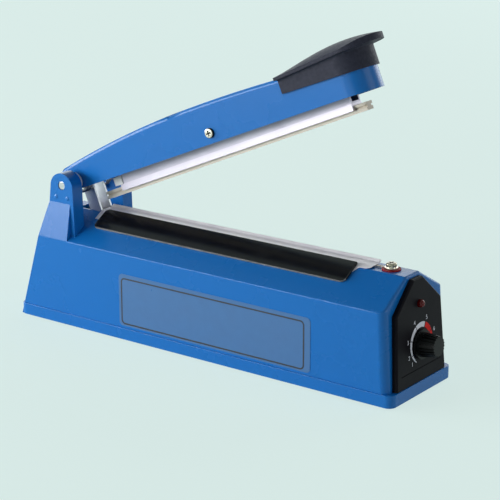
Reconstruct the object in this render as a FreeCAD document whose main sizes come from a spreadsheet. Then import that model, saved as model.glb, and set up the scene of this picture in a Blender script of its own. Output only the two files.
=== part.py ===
import FreeCAD, Part
import math
import os
import Sketcher
from FreeCAD import Placement, Rotation, Vector

# A table-top impulse heat sealer: a blue housing with a hinge at its -X end and a control panel at its +X
# end, a lever arm that carries a rocking pressure bar, and a heating element under a PTFE cover on top.
# Frame: +X towards the control panel, -Y to the front, +Z up, origin on the table under the housing's middle.
# Every height of the housing is counted from its lower rim, which the feet hold above the table.

SIZES = {
    # Housing
    "base_length": 304.0, "base_width": 71.2, "foot_stand": 1.5, "shell_wall": 2.5,
    "plinth_height": 8.0, "plinth_step": 0.8, "plinth_radius": 5.0, "plinth_edge": 0.5,
    "ridge_height": 59.2, "top_height": 75.0, "top_width": 15.4,
    "hinge_lean_angle": 16.7, "panel_lean_angle": 3.8, "end_radius": 5.0, "crest_radius": 2.0,
    "ridge_radius": 1.1,
    # Bottom plate and feet
    "plate_thickness": 1.2, "plate_recess": 1.0, "plate_gap": 0.4,
    "boss_radius": 4.4, "boss_height": 24.0, "boss_inset": 16.0, "boss_merge": 0.2,
    "screw_radius": 1.5, "screw_depth": 10.0, "screw_head_radius": 2.9, "screw_head_height": 1.1,
    "foot_radius": 7.5, "foot_taper": 1.0, "foot_inset_x": 32.0, "foot_inset_y": 11.5,
    # Hinge
    "pivot_ahead": 13.699, "pivot_lift": 21.0, "pin_diameter": 6.0, "pin_recess": 0.5,
    "ear_face": 30.4, "ear_gap": 41.0, "ear_half": 9.8, "ear_drop": 1.3, "ear_flare": 1.6, "ear_root": 8.0,
    "facet_drop": 12.1, "facet_step": 2.4, "dimple_radius": 1.7, "dimple_rise": 0.5,
    "dimple_spread": 5.0, "dimple_drop": 8.4, "ledge_depth": 5.5, "ledge_height": 3.6, "stop_gap": 0.3,
    "running_gap": 0.05, "side_gap": 0.1, "hinge_washer_radius": 6.0,
    "coil_radius": 8.2, "wire_diameter": 1.6, "coil_pitch": 2.2, "coil_gap": 0.5, "spring_leg": 19.0,
    # Lever arm, in its own frame: u runs along the arm from the hinge, w is up when the arm is closed
    "open_angle": 23.33, "arm_width": 31.2, "arm_wall": 2.2, "arm_tip": 249.0, "heel_back": 9.5,
    "heel_drop": 5.6, "tip_drop": 8.0, "tip_top": 12.0, "crest_u": 108.0, "crest_top": 19.6,
    "nape_back": 7.8, "nape_top": 11.0, "nape_radius": 12.0, "arm_edge_radius": 2.5,
    # Handle cap
    "cap_wall": 1.5, "cap_start": 190.6, "cap_low_start": 7.3, "cap_low_end": 5.5, "visor_overhang": 2.2,
    "visor_rim": 2.0, "visor_start": 189.3, "visor_tip": 258.9, "visor_low_start": 16.3,
    "visor_low_end": 19.4, "cap_screw_near": 205.0, "cap_screw_far": 232.0, "cap_screw_reach": 3.0,
    "cap_screw_gap": 0.8, "visor_swell": 24.0, "visor_peak": 46.0, "crown_start": 1.2, "crown_swell": 4.9,
    "crown_peak": 5.4, "crown_tip": 2.0, "visor_root": 1.6,
    # Pressure bar
    "bar_start": 28.9, "bar_length": 200.0, "bar_width": 11.0, "bar_top": 12.0, "bar_height": 4.4,
    "groove_mouth": 4.2, "groove_width": 7.4, "groove_lip": 1.0, "groove_depth": 2.0, "strip_gap": 0.1,
    "strip_start": 11.8, "strip_end": 237.5, "strip_width": 6.6, "seal_gap": 1.0,
    "carrier_sheet": 1.2, "carrier_width": 10.0, "carrier_side": 8.0, "carrier_lug": 9.0, "lug_half": 8.0,
    "lug_slant": 6.5, "rock_u": 125.5, "rock_radius": 2.0, "rock_head_radius": 3.3, "rock_head_height": 1.9,
    "nut_radius": 3.6, "nut_height": 2.4, "spacer_radius": 3.6,
    "clip_start": 24.3, "clip_length": 7.0, "clip_wall": 0.8, "clip_height": 5.7,
    # Switch tongue and micro switch
    "tongue_back": 5.0, "tongue_front": 4.6, "tongue_reach": 38.0, "tongue_width": 11.5, "tongue_sheet": 1.5,
    "tongue_top": 8.6, "tongue_foot": 6.0, "slot_gap": 0.8, "slot_ahead": 16.2, "slot_width": 12.8,
    "switch_depth": 6.4, "switch_height": 13.0, "switch_width": 6.0, "plunger_above": 2.0,
    "plunger_rise": 9.5, "plunger_radius": 1.2, "plunger_proud": 2.0, "plunger_inside": 2.4, "press_gap": 0.4,
    "switch_block": 12.0, "block_margin": 1.5, "pilot_radius": 0.8, "pilot_spread": 1.8, "pilot_rise": 3.0,
    "pilot_depth": 3.2,
    # Sealing top
    "heat_bar_ahead": 16.4, "heat_bar_inset": 38.5, "heat_bar_width": 8.4, "heat_bar_height": 0.8,
    "element_width": 2.6, "element_thickness": 0.2, "anchor_inset": 4.1, "anchor_length": 8.0,
    "anchor_width": 7.0, "anchor_height": 9.0, "anchor_slot": 0.4, "ptfe_lap_start": 1.7, "ptfe_lap_end": 1.0,
    "ptfe_thickness": 0.3, "ptfe_reach": 6.0, "clamp_inset_start": 2.6, "clamp_inset_end": 6.5,
    "clamp_drop": 15.0, "clamp_lip": 2.8, "clamp_thickness": 1.4, "clamp_radius": 3.0, "stud_radius": 1.5,
    "stud_spread": 140.0, "stud_drop": 10.6, "stud_length": 7.5, "clamp_nut_height": 2.4,
    "rear_clamp_shift": 3.4,
    "terminal_inset": 24.3, "fibre_radius": 6.0, "fibre_thickness": 0.8, "washer_radius": 4.2,
    "washer_thickness": 0.7, "lock_radius": 3.4, "lug_radius": 3.6, "terminal_radius": 1.9,
    "terminal_head_radius": 3.4, "terminal_head_height": 2.1, "terminal_depth": 9.0,
    # Control panel, in its own frame: out of the end wall, across, and up the wall from the rim
    "panel_thickness": 3.6, "panel_bevel": 0.8, "panel_low": 8.2, "panel_low_half": 28.4,
    "panel_mid_drop": 4.0, "panel_mid_half": 25.9, "panel_high_drop": 1.8, "panel_high_half": 5.4,
    "panel_groove": 16.0, "panel_groove_half": 23.0, "panel_groove_size": 0.5, "dial_height": 31.3,
    "lamp_rise": 2.1, "lamp_radius": 2.5, "lamp_proud": 1.1, "lamp_depth": 7.0, "lamp_flange": 3.2,
    "flange_thickness": 1.0,
    "knob_gap": 0.6, "knob_radius": 9.3, "knob_grip_radius": 7.9, "knob_tip_radius": 6.5, "knob_skirt": 1.6,
    "knob_length": 12.4, "knob_hollow_radius": 6.0, "knob_hollow_depth": 3.4, "flute_count": 20,
    "flute_radius": 0.7,
    "pot_radius": 8.0, "pot_depth": 8.5, "bushing_radius": 3.5, "bushing_length": 2.4, "pot_nut_radius": 5.4,
    "pot_nut_height": 2.0, "shaft_radius": 3.0, "shaft_inside": 4.0, "shaft_grip": 8.0, "window_gap": 2.0,
    "board_width": 42.0, "board_height": 34.0, "board_thickness": 1.6, "relay_width": 19.0,
    "relay_depth": 15.0, "relay_height": 15.5, "capacitor_radius": 5.0, "capacitor_length": 12.0,
    "part_spread": 11.0,
    # Transformer
    "core_x": -10.0, "core_width": 57.0, "core_height": 47.5, "core_stack": 25.0, "coil_overhang": 8.0,
    "coil_gap_wide": 0.3, "strap_sheet": 1.0, "strap_width": 16.0, "strap_foot": 9.0,
    # Mains inlet and label
    "inlet_inset": 40.0, "inlet_height": 17.0, "inlet_neck": 6.0, "inlet_flange": 8.5,
    "inlet_flange_height": 2.0, "inlet_bore": 3.4, "label_inset": 90.0, "label_length": 154.0,
    "label_low": 9.6, "label_height": 36.0, "label_thickness": 0.2, "label_radius": 3.0,
}

DOC = FreeCAD.newDocument("impulse_sealer")
SHEET = DOC.addObject("Spreadsheet::Sheet", "Sizes")
for row, (alias, value) in enumerate(SIZES.items(), start=1):
    SHEET.set(f"A{row}", str(value))
    SHEET.setAlias(f"A{row}", alias)
DOC.recompute()

NODES = {}


class Size:
    """A length or angle that knows its number and the sheet expression that drives it."""

    def __init__(self, value, text):
        self.value = float(value)
        self.text = text

    def __add__(self, other):
        other = as_size(other)
        return Size(self.value + other.value, f"({self.text} + {other.text})")

    def __sub__(self, other):
        other = as_size(other)
        return Size(self.value - other.value, f"({self.text} - {other.text})")

    def __mul__(self, other):
        other = as_size(other)
        return Size(self.value * other.value, f"({self.text} * {other.text})")

    def __truediv__(self, other):
        other = as_size(other)
        return Size(self.value / other.value, f"({self.text} / {other.text})")

    def __radd__(self, other):
        return as_size(other) + self

    def __rsub__(self, other):
        return as_size(other) - self

    def __rmul__(self, other):
        return as_size(other) * self

    def __neg__(self):
        return Size(-self.value, f"(0 - {self.text})")


def as_size(number):
    """A plain number as a Size."""
    return number if isinstance(number, Size) else Size(number, f"({float(number)!r})")


def tangent(angle):
    return Size(math.tan(math.radians(angle.value)), f"tan({angle.text} * 1 deg)")


def cosine(angle):
    return Size(math.cos(math.radians(angle.value)), f"cos({angle.text} * 1 deg)")


def sine(angle):
    return Size(math.sin(math.radians(angle.value)), f"sin({angle.text} * 1 deg)")


def root(number):
    return Size(math.sqrt(number.value), f"sqrt({number.text})")


def arc_angle(ratio):
    """The angle in degrees whose tangent is the ratio."""
    return Size(math.degrees(math.atan(ratio.value)), f"(atan({ratio.text}) / 1 deg)")


class Sheet:
    """The sheet's cells as Size attributes."""

    def __init__(self):
        for name in SIZES:
            setattr(self, name, Size(getattr(SHEET, name), f"Sizes.{name}"))


S = Sheet()

# Places that many pieces share
HALF_LENGTH = S.base_length / 2
RIM = S.foot_stand
RIDGE_Z = RIM + S.ridge_height
TOP_Z = RIM + S.top_height
TOP_HALF = S.top_width / 2
SHELL_HALF = S.base_width / 2 - S.plinth_step
SHELL_LEFT = S.plinth_step - HALF_LENGTH
END_WALL = HALF_LENGTH - S.panel_thickness
SLOPE = (S.top_height - S.ridge_height) / (SHELL_HALF - TOP_HALF)
SLOPE_ANGLE = arc_angle(SLOPE)
SLOPE_LENGTH = root(1 + SLOPE * SLOPE)
PLATE_LOW = RIM + S.plate_recess
PLATE_TOP = PLATE_LOW + S.plate_thickness
PIVOT_X = SHELL_LEFT + tangent(S.hinge_lean_angle) * S.top_height + S.pivot_ahead
PIVOT_Z = TOP_Z + S.pivot_lift
PIN_RADIUS = S.pin_diameter / 2
EAR_INNER = S.ear_gap / 2
ARM_HALF = S.arm_width / 2
ARM_INNER = ARM_HALF - S.arm_wall
BAR_TOP_Z = TOP_Z + S.heat_bar_height
ELEMENT_TOP = BAR_TOP_Z + S.element_thickness
COVER_TOP = ELEMENT_TOP + S.ptfe_thickness
STRIP_LOW = COVER_TOP + S.seal_gap - PIVOT_Z
BAR_LOW = 0 - S.bar_top - S.bar_height
CAP_HALF = ARM_HALF + S.cap_wall
TONGUE_LEFT = PIVOT_X - S.tongue_back
SWITCH_FACE = TONGUE_LEFT - S.press_gap - S.plunger_proud
SWITCH_BACK = SWITCH_FACE - S.switch_depth
SWITCH_LOW = PIVOT_Z - S.tongue_reach + S.plunger_above - S.plunger_rise
HEAT_BAR_START = PIVOT_X + S.heat_bar_ahead
HEAT_BAR_END = HALF_LENGTH - S.heat_bar_inset
CLAMP_START = HEAT_BAR_START + S.clamp_inset_start
CLAMP_END = HEAT_BAR_END - S.clamp_inset_end
ANCHOR_X = HEAT_BAR_START + S.anchor_inset
ANCHOR_LEFT = ANCHOR_X - S.element_thickness
TERMINAL_X = HALF_LENGTH - S.terminal_inset
INLET_X = HALF_LENGTH - S.inlet_inset
PANEL_MID = S.ridge_height - S.panel_mid_drop
PANEL_HIGH = S.top_height - S.panel_high_drop
LAMP_HEIGHT = PANEL_MID + S.lamp_rise
FAR = S.base_length
ZERO = as_size(0)

# The cross recess of a screw, as shares of its head's radius: half its span and half a slot's width
CROSS_REACH = 0.6
CROSS_SLOT = 0.14


def left_wall(height):
    """Outer X of the leaning hinge-end wall at a height."""
    return SHELL_LEFT + tangent(S.hinge_lean_angle) * (height - RIM)


def right_wall(height):
    """Outer X of the panel-end wall at a height."""
    return END_WALL - tangent(S.panel_lean_angle) * (height - RIM)


def bind(item, **sizes):
    """Ties an object's properties to the sheet."""
    for name, size in sizes.items():
        item.setExpression(name, as_size(size).text)


def move(item, place, turn=None):
    """Puts an object at a place made of three sizes, with a fixed turn."""
    item.Placement = Placement(Vector(), turn or Rotation())
    for axis, size in zip("xyz", place):
        item.setExpression(f"Placement.Base.{axis}", as_size(size).text)
    return item


def tilt(item, place, axis, angle):
    """Puts an object at a place, turned about an axis by an angle of the sheet."""
    move(item, place, Rotation(axis, angle.value))
    item.setExpression("Placement.Rotation.Angle", angle.text)
    return item


def on_arm(item):
    """Stands a piece of the arm's own frame at the hinge, at the open angle."""
    return tilt(item, (PIVOT_X, ZERO, PIVOT_Z), Vector(0, -1, 0), S.open_angle)


def on_panel(item):
    """Stands a piece of the panel's own frame against the panel-end wall."""
    return tilt(item, (END_WALL, ZERO, RIM), Vector(0, -1, 0), S.panel_lean_angle)


def on_slope(item):
    """Lays a piece on the front slope, from the edge of the top: y runs up the slope, z out of it."""
    return tilt(item, (ZERO, -TOP_HALF, TOP_Z), Vector(1, 0, 0), SLOPE_ANGLE)


AXES = {"X": Vector(1, 0, 0), "Y": Vector(0, 1, 0), "Z": Vector(0, 0, 1)}
ROD_TURNS = {"X": Rotation(Vector(0, 1, 0), 90), "Y": Rotation(Vector(1, 0, 0), -90), "Z": Rotation()}
PLANES = {"XY": ("Z", Rotation()), "XZ": ("Y", Rotation(Vector(1, 0, 0), 90)),
          "YZ": ("X", Rotation(Vector(1, 1, 1), 120))}


def box(name, low, high):
    """A box between two corners."""
    item = DOC.addObject("Part::Box", name)
    bind(item, Length=high[0] - low[0], Width=high[1] - low[1], Height=high[2] - low[2])
    return move(item, low)


def rod(name, axis, radius, start, length):
    """A cylinder from a start point along an axis."""
    item = DOC.addObject("Part::Cylinder", name)
    bind(item, Radius=radius, Height=length)
    return move(item, start, ROD_TURNS[axis])


def cone(name, axis, radius, end_radius, start, length):
    """A cone from a start point along an axis."""
    item = DOC.addObject("Part::Cone", name)
    bind(item, Radius1=radius, Radius2=end_radius, Height=length)
    return move(item, start, ROD_TURNS[axis])


def fuse(name, *pieces):
    item = DOC.addObject("Part::MultiFuse", name)
    item.Shapes = list(pieces)
    return item


def common(name, *pieces):
    item = DOC.addObject("Part::MultiCommon", name)
    item.Shapes = list(pieces)
    return item


def cut(name, base, *tools):
    item = DOC.addObject("Part::Cut", name)
    item.Base = base
    item.Tool = tools[0] if len(tools) == 1 else fuse(f"{name}_tools", *tools)
    return item


def tube(name, axis, radius, bore, start, length):
    """A ring: a cylinder with a bore."""
    rim = rod(f"{name}_rim", axis, radius, start, length)
    return cut(name, rim, rod(f"{name}_bore", axis, bore, start, length))


def group(name, *pieces):
    """Several solids of one node."""
    item = DOC.addObject("Part::Compound", name)
    item.Links = list(pieces)
    return item


def mirror(name, source, axis="Y"):
    """The same piece on the other side of the middle plane."""
    item = DOC.addObject("Part::Mirroring", name)
    item.Source = source
    item.Normal = AXES[axis]
    return item


def round_edges(name, base, radius, wanted):
    """Rounds the edges of a finished solid that the test wanted picks."""
    DOC.recompute()
    item = DOC.addObject("Part::Fillet", name)
    item.Base = base
    picked = [index for index, edge in enumerate(base.Shape.Edges, start=1) if wanted(edge)]
    item.Edges = [(index, radius.value, radius.value) for index in picked]
    return item


def arc_between(start, stop, radius):
    """The arc of at most half a circle from start to stop; a positive radius turns left."""
    across = stop - start
    reach = math.sqrt(max(radius * radius - across.Length ** 2 / 4, 0))
    side = Vector(-across.y, across.x, 0).normalize()
    centre = (start + stop) / 2 + side * math.copysign(reach, radius)
    ends = [math.atan2(point.y - centre.y, point.x - centre.x) for point in (start, stop)]
    if radius < 0:
        ends.reverse()
    return Part.ArcOfCircle(Part.Circle(centre, Vector(0, 0, 1), abs(radius)), *ends)


def hold(sketch, kind, size, *where):
    """Adds a dimension to a sketch and ties it to the sheet."""
    index = sketch.addConstraint(Sketcher.Constraint(kind, *where, size.value))
    sketch.renameConstraint(index, f"size{index}")
    sketch.setExpression(f"Constraints.size{index}", size.text)


def draw(sketch, steps):
    """Draws a closed outline: each step is a point, and a third value is the radius of the arc to it."""
    points = [Vector(as_size(step[0]).value, as_size(step[1]).value, 0) for step in steps]
    edges = []
    for index, start in enumerate(points):
        after = (index + 1) % len(points)
        stop = points[after]
        if len(steps[after]) == 2:
            edges.append((sketch.addGeometry(Part.LineSegment(start, stop)), 1, 2))
            continue
        radius = steps[after][2]
        number = sketch.addGeometry(arc_between(start, stop, radius.value))
        edges.append((number, 1, 2) if radius.value > 0 else (number, 2, 1))
        hold(sketch, "Radius", radius if radius.value > 0 else -radius, number)
    for index, (number, first, last) in enumerate(edges):
        following = edges[(index + 1) % len(edges)]
        sketch.addConstraint(Sketcher.Constraint("Coincident", number, last, following[0], following[1]))
        hold(sketch, "DistanceX", as_size(steps[index][0]), -1, 1, number, first)
        hold(sketch, "DistanceY", as_size(steps[index][1]), -1, 1, number, first)


def ring(sketch, across, up, radius):
    """Draws a circle."""
    spot = Vector(as_size(across).value, as_size(up).value, 0)
    number = sketch.addGeometry(Part.Circle(spot, Vector(0, 0, 1), as_size(radius).value))
    hold(sketch, "Radius", as_size(radius), number)
    hold(sketch, "DistanceX", as_size(across), -1, 1, number, 3)
    hold(sketch, "DistanceY", as_size(up), -1, 1, number, 3)


def prism(name, plane, steps, start, stop):
    """An outline drawn on a plane and drawn out along that plane's axis from start to stop."""
    axis, turn = PLANES[plane]
    sketch = DOC.addObject("Sketcher::SketchObject", f"{name}_outline")
    place = [start if letter == axis else ZERO for letter in "XYZ"]
    move(sketch, place, turn)
    draw(sketch, steps)
    item = DOC.addObject("Part::Extrusion", name)
    item.Base = sketch
    item.DirMode = "Custom"
    item.Dir = AXES[axis]
    item.Solid = True
    bind(item, LengthFwd=stop - start)
    return item


def sketch_in(body, role):
    """A new sketch on one of a body's own origin planes."""
    sketch = body.newObject("Sketcher::SketchObject", f"{body.Name}_sketch")
    plane = next(item for item in body.Origin.OriginFeatures if item.Role == role)
    sketch.AttachmentSupport = [(plane, "")]
    sketch.MapMode = "FlatFace"
    return sketch


def pad(body, sketch, length, both_ways=False, backwards=False):
    """Draws a body's sketch out."""
    item = body.newObject("PartDesign::Pad", f"{body.Name}_pad")
    item.Profile = sketch
    item.Reversed = backwards
    if both_ways:
        item.SideType = "Symmetric"
    bind(item, Length=length)
    return item


def pocket(body, sketch, depth, backwards=False):
    """Cuts a body's sketch into it, and makes sure that it did."""
    DOC.recompute()
    before = body.Shape.Volume
    item = body.newObject("PartDesign::Pocket", f"{body.Name}_pocket")
    item.Profile = sketch
    item.Reversed = backwards
    bind(item, Length=depth)
    DOC.recompute()
    if body.Shape.Volume >= before:
        raise RuntimeError(f"{item.Name} cuts nothing")
    return item


def revolve(body, sketch, axis):
    """Turns a body's sketch a full circle about one of its origin axes."""
    item = body.newObject("PartDesign::Revolution", f"{body.Name}_turned")
    item.Profile = sketch
    line = next(feature for feature in body.Origin.OriginFeatures if feature.Role == axis)
    item.ReferenceAxis = (line, [""])
    item.Angle = 360
    return item


def dress(body, kind, size, wanted):
    """Fillets or chamfers the edges of a body that the test wanted picks."""
    DOC.recompute()
    base = body.Tip
    item = body.newObject(f"PartDesign::{kind}", f"{body.Name}_{kind.lower()}")
    names = [f"Edge{index}" for index, edge in enumerate(base.Shape.Edges, start=1) if wanted(edge)]
    item.Base = (base, names)
    bind(item, **{"Radius" if kind == "Fillet" else "Size": size})
    return item


def node(label, item):
    """Registers a finished sub-part under its name."""
    item.Label = label
    NODES[label] = item
    return item


def is_along(edge, axis):
    """Whether an edge is a straight line along an axis."""
    way = edge.Vertexes[-1].Point - edge.Vertexes[0].Point
    return edge.Curve.TypeId == "Part::GeomLine" and abs(way.dot(AXES[axis])) > 0.999 * edge.Length


def shell_block(name, inset):
    """The housing's outer form, or its cavity when every wall is moved in by an inset."""
    lean = inset / cosine(S.hinge_lean_angle)
    drop = inset * SLOPE_LENGTH
    low = RIM - inset
    top = TOP_Z - inset
    half = SHELL_HALF - inset
    ridge = RIDGE_Z + inset * SLOPE - drop
    crest = SHELL_HALF - (top - RIDGE_Z + drop) / SLOPE
    section = [(-half, low), (half, low), (half, ridge), (crest, top), (-crest, top), (-half, ridge)]
    back = inset / cosine(S.panel_lean_angle)
    side = [(left_wall(low) + lean, low), (right_wall(low) - back, low),
            (right_wall(top) - back, top), (left_wall(top) + lean, top)]
    return common(name, prism(f"{name}_section", "YZ", section, -FAR, FAR),
                  prism(f"{name}_side", "XZ", side, -FAR, FAR))


def rounded_shell():
    """The outer form with a round panel end and soft ridges, all rounded at once so that they blend."""
    block = shell_block("shell_outer", ZERO)
    DOC.recompute()
    form = DOC.addObject("Part::Fillet", "shell_form")
    form.Base = block
    rounds = [(index, shell_round(edge)) for index, edge in enumerate(block.Shape.Edges, start=1)]
    form.Edges = [(index, size.value, size.value) for index, size in rounds if size]
    return form


def shell_round(edge):
    """The radius of an edge of the outer form, or None where it stays sharp."""
    middle = edge.CenterOfMass
    if is_along(edge, "X"):
        return S.ridge_radius if middle.z > RIDGE_Z.value - 1 else None
    if abs(middle.x - right_wall(as_size(middle.z)).value) > 0.01 or middle.z < RIM.value + 1:
        return None
    return S.end_radius if middle.z < RIDGE_Z.value else S.crest_radius


def plinth():
    """The proud band around the foot of the housing, with rounder corners at the panel end."""
    high = RIM + S.plinth_height
    band = box("plinth_band", (-HALF_LENGTH, -S.base_width / 2, RIM), (HALF_LENGTH, S.base_width / 2, high))
    corners = round_edges("plinth_corners", band, S.plinth_radius, lambda edge: is_along(edge, "Z"))
    return round_edges("plinth", corners, S.plinth_edge,
                       lambda edge: abs(edge.CenterOfMass.z - high.value) < 0.01)


def ear():
    """The front hinge ear: a thick round-topped plate with a leaning facet below it."""
    low = RIDGE_Z - S.ear_root
    top = PIVOT_Z - S.ear_drop
    half = S.ear_half
    facet = PIVOT_Z - S.facet_drop
    flare = half + S.ear_flare
    plate_side = [(left_wall(low), low), (PIVOT_X + flare, low), (PIVOT_X + half, top),
                  (PIVOT_X, top + half, half), (PIVOT_X - half, top, half), (left_wall(facet), facet)]
    plate = prism("ear_plate", "XZ", plate_side, -S.ear_face, -EAR_INNER)
    step = half - S.facet_step
    rib_side = [(left_wall(low), low), (PIVOT_X + step, low), (PIVOT_X + step, facet),
                (left_wall(facet), facet)]
    rib_section = [(-EAR_INNER, low), (-SHELL_HALF, low), (-SHELL_HALF, RIDGE_Z), (-S.ear_face, facet),
                   (-EAR_INNER, facet)]
    rib = common("ear_rib", prism("ear_rib_side", "XZ", rib_side, -SHELL_HALF, -EAR_INNER),
                 prism("ear_rib_section", "YZ", rib_section, -FAR, FAR))
    stop_z = PIVOT_Z - S.heel_back * sine(S.open_angle) - S.heel_drop * cosine(S.open_angle) - S.stop_gap
    heel_x = PIVOT_X - S.heel_back * cosine(S.open_angle) + S.heel_drop * sine(S.open_angle)
    ledge = box("ear_ledge", (heel_x - S.ledge_depth / 2, -EAR_INNER, stop_z - S.ledge_height),
                (heel_x + S.ledge_depth / 2, S.arm_wall / 2 - ARM_HALF, stop_z))
    dimples = [dimple(side) for side in (-1, 1)]
    return fuse("ear", plate, rib, ledge, *dimples)


def dimple(side):
    """One of the two small domes on the ear's face below the pin."""
    ball_radius = (S.dimple_radius * S.dimple_radius + S.dimple_rise * S.dimple_rise) / (2 * S.dimple_rise)
    ball = DOC.addObject("Part::Sphere", "dimple_ball")
    bind(ball, Radius=ball_radius)
    depth = ball_radius - S.dimple_rise - S.ear_face
    return move(ball, (PIVOT_X + side * S.dimple_spread, depth, PIVOT_Z - S.dimple_drop))


def boss_places():
    """The four places of the bottom plate's screws."""
    across = SHELL_HALF - S.shell_wall - S.boss_radius + S.boss_merge
    along = HALF_LENGTH - S.boss_inset
    return [(side * along, face * across) for side in (-1, 1) for face in (-1, 1)]


def stud_places():
    """The places of the clamp plates' studs along X."""
    middle = (CLAMP_START + CLAMP_END) / 2
    return [middle + side * S.stud_spread / 2 for side in (-1, 1)]


def build_housing():
    """The moulded housing: a sloped shell with hinge ears, screw bosses, a switch block and all its holes."""
    front_ear = ear()
    form = fuse("housing_form", rounded_shell(), plinth(), front_ear, mirror("rear_ear", front_ear))
    hollow = cut("housing_hollow", form, shell_block("cavity", S.shell_wall))
    bosses = [rod("boss", "Z", S.boss_radius, (x, y, PLATE_TOP), S.boss_height) for x, y in boss_places()]
    low = SWITCH_LOW - S.block_margin
    high = SWITCH_LOW + S.switch_height + S.block_margin
    block = box("switch_block_box", (SWITCH_BACK - S.switch_block, -S.switch_width, low),
                (SWITCH_BACK, S.switch_width, high))
    limit = shell_block("inner_limit", S.shell_wall / 2)
    inner = common("housing_inner", fuse("inner_pieces", block, *bosses), limit)
    whole = fuse("housing_whole", hollow, inner)
    tools = [*screw_pilots(), *top_cuts(), *end_cuts(), inlet_hole(), hinge_bore()]
    tools += [stud_holes(ZERO), mirror("rear_stud_holes", stud_holes(S.rear_clamp_shift))]
    node("housing", cut("housing_cut", whole, *tools))


def screw_pilots():
    """The blind holes for the bottom plate's and the micro switch's screws."""
    pilots = [rod("boss_pilot", "Z", S.screw_radius, (x, y, PLATE_TOP), S.screw_depth)
              for x, y in boss_places()]
    start = SWITCH_BACK - S.pilot_depth
    pilots += [rod("switch_pilot", "X", S.pilot_radius, (start, y, z), S.pilot_depth)
               for y, z in switch_screw_places()]
    return pilots


def stud_holes(shift):
    """The holes through the front slope for the studs of a clamp plate that sits lower by a shift."""
    start = -S.stud_length
    holes = [rod("stud_hole", "Z", S.stud_radius, (x, -S.stud_drop - shift, start), S.stud_length * 2)
             for x in stud_places()]
    return on_slope(fuse("stud_holes", *holes))


def top_cuts():
    """The tongue's slot, the element's slit and the terminal's hole in the top."""
    low = TOP_Z - S.shell_wall - S.slot_gap
    high = TOP_Z + S.slot_gap
    slot = box("tongue_slot", (TONGUE_LEFT - S.slot_gap, -S.slot_width / 2, low),
               (PIVOT_X + S.slot_ahead, S.slot_width / 2, high))
    half = S.element_width / 2 + S.anchor_slot
    slit = box("element_slit", (ANCHOR_LEFT - S.anchor_slot, -half, low), (ANCHOR_X, half, high))
    hole = rod("terminal_hole", "Z", S.terminal_radius + S.side_gap, (TERMINAL_X, ZERO, low), high - low)
    return [slot, slit, hole]


def end_cuts():
    """The holes behind the panel for the potentiometer and the lamp."""
    depth = S.shell_wall * 4
    start = 0 - depth / 2
    pot_hole = rod("pot_window", "X", S.pot_radius + S.window_gap, (start, ZERO, S.dial_height), depth)
    lamp_hole = rod("lamp_window", "X", S.lamp_flange + S.window_gap, (start, ZERO, LAMP_HEIGHT), depth)
    return [on_panel(fuse("end_holes", pot_hole, lamp_hole))]


def inlet_hole():
    return rod("inlet_hole", "Y", S.inlet_neck, (INLET_X, ZERO, RIM + S.inlet_height), FAR)


def hinge_bore():
    return rod("hinge_bore", "Y", PIN_RADIUS, (PIVOT_X, -FAR, PIVOT_Z), FAR * 2)


def build_bottom():
    """The steel bottom plate with its screws and rubber feet."""
    body = DOC.addObject("PartDesign::Body", "bottom_plate_body")
    sketch = sketch_in(body, "XY_Plane")
    left = left_wall(PLATE_TOP) + S.shell_wall / cosine(S.hinge_lean_angle) + S.plate_gap
    right = right_wall(PLATE_TOP) - S.shell_wall / cosine(S.panel_lean_angle) - S.plate_gap
    half = SHELL_HALF - S.shell_wall - S.plate_gap
    draw(sketch, [(left, -half), (right, -half), (right, half), (left, half)])
    for x, y in boss_places():
        ring(sketch, x, y, S.screw_radius)
    pad(body, sketch, S.plate_thickness)
    move(body, (ZERO, ZERO, PLATE_LOW))
    node("bottom_plate", body)
    screws = []
    for x, y in boss_places():
        spot = (x, y, PLATE_LOW - S.screw_head_height)
        head = rod("bottom_head", "Z", S.screw_head_radius, spot, S.screw_head_height)
        shank = rod("bottom_shank", "Z", S.screw_radius, (x, y, PLATE_LOW), S.screw_depth)
        screws.append(fuse("bottom_screw", head, shank))
    node("bottom_screws", group("bottom_screw_set", *screws))
    feet = []
    for side in (-1, 1):
        for face in (-1, 1):
            spot = (side * (HALF_LENGTH - S.foot_inset_x), face * (S.base_width / 2 - S.foot_inset_y), ZERO)
            feet.append(cone("foot", "Z", S.foot_radius - S.foot_taper, S.foot_radius, spot, PLATE_LOW))
    node("rubber_feet", group("foot_set", *feet))


def build_hinge():
    """The hinge pin, the washers beside the arm and the two lift springs."""
    length = S.ear_face - S.pin_recess
    pin = rod("pin_rod", "Y", PIN_RADIUS, (PIVOT_X, -length, PIVOT_Z), length * 2)
    node("hinge_pin", round_edges("pin", pin, S.pin_recess, lambda edge: not is_along(edge, "Y")))
    thickness = EAR_INNER - ARM_HALF - S.side_gap * 2
    washer = tube("hinge_washer", "Y", S.hinge_washer_radius, PIN_RADIUS,
                  (PIVOT_X, S.side_gap - EAR_INNER, PIVOT_Z), thickness)
    node("hinge_washers", group("hinge_washer_set", washer, mirror("rear_hinge_washer", washer)))
    spring = DOC.addObject("Part::Feature", "lift_spring")
    spring.Shape = spring_shape()
    node("lift_springs", group("lift_spring_set", spring, mirror("rear_lift_spring", spring)))


def biarc(start, way, stop, end_way):
    """Two arcs that join smoothly, from a point and direction to another."""
    across = stop - start
    both = way + end_way
    spread = 2 * (1 - way.dot(end_way))
    lean = across.dot(both)
    reach = (math.sqrt(lean * lean + spread * across.dot(across)) - lean) / spread
    knee = start + way * reach
    far_knee = stop - end_way * reach
    joint = (knee + far_knee) / 2
    return [knee_arc(start, knee, joint, reach), knee_arc(joint, far_knee, stop, reach)]


def knee_arc(start, knee, stop, reach):
    """The arc that leaves start and reaches stop along the two lines of a knee."""
    inward = (start + stop) / 2 - knee
    half = (stop - start).Length / 2
    radius = reach * half / math.sqrt(reach * reach - half * half)
    middle = knee + inward.normalize() * (math.hypot(reach, radius) - radius)
    return Part.Arc(start, middle, stop).toShape()


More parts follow.
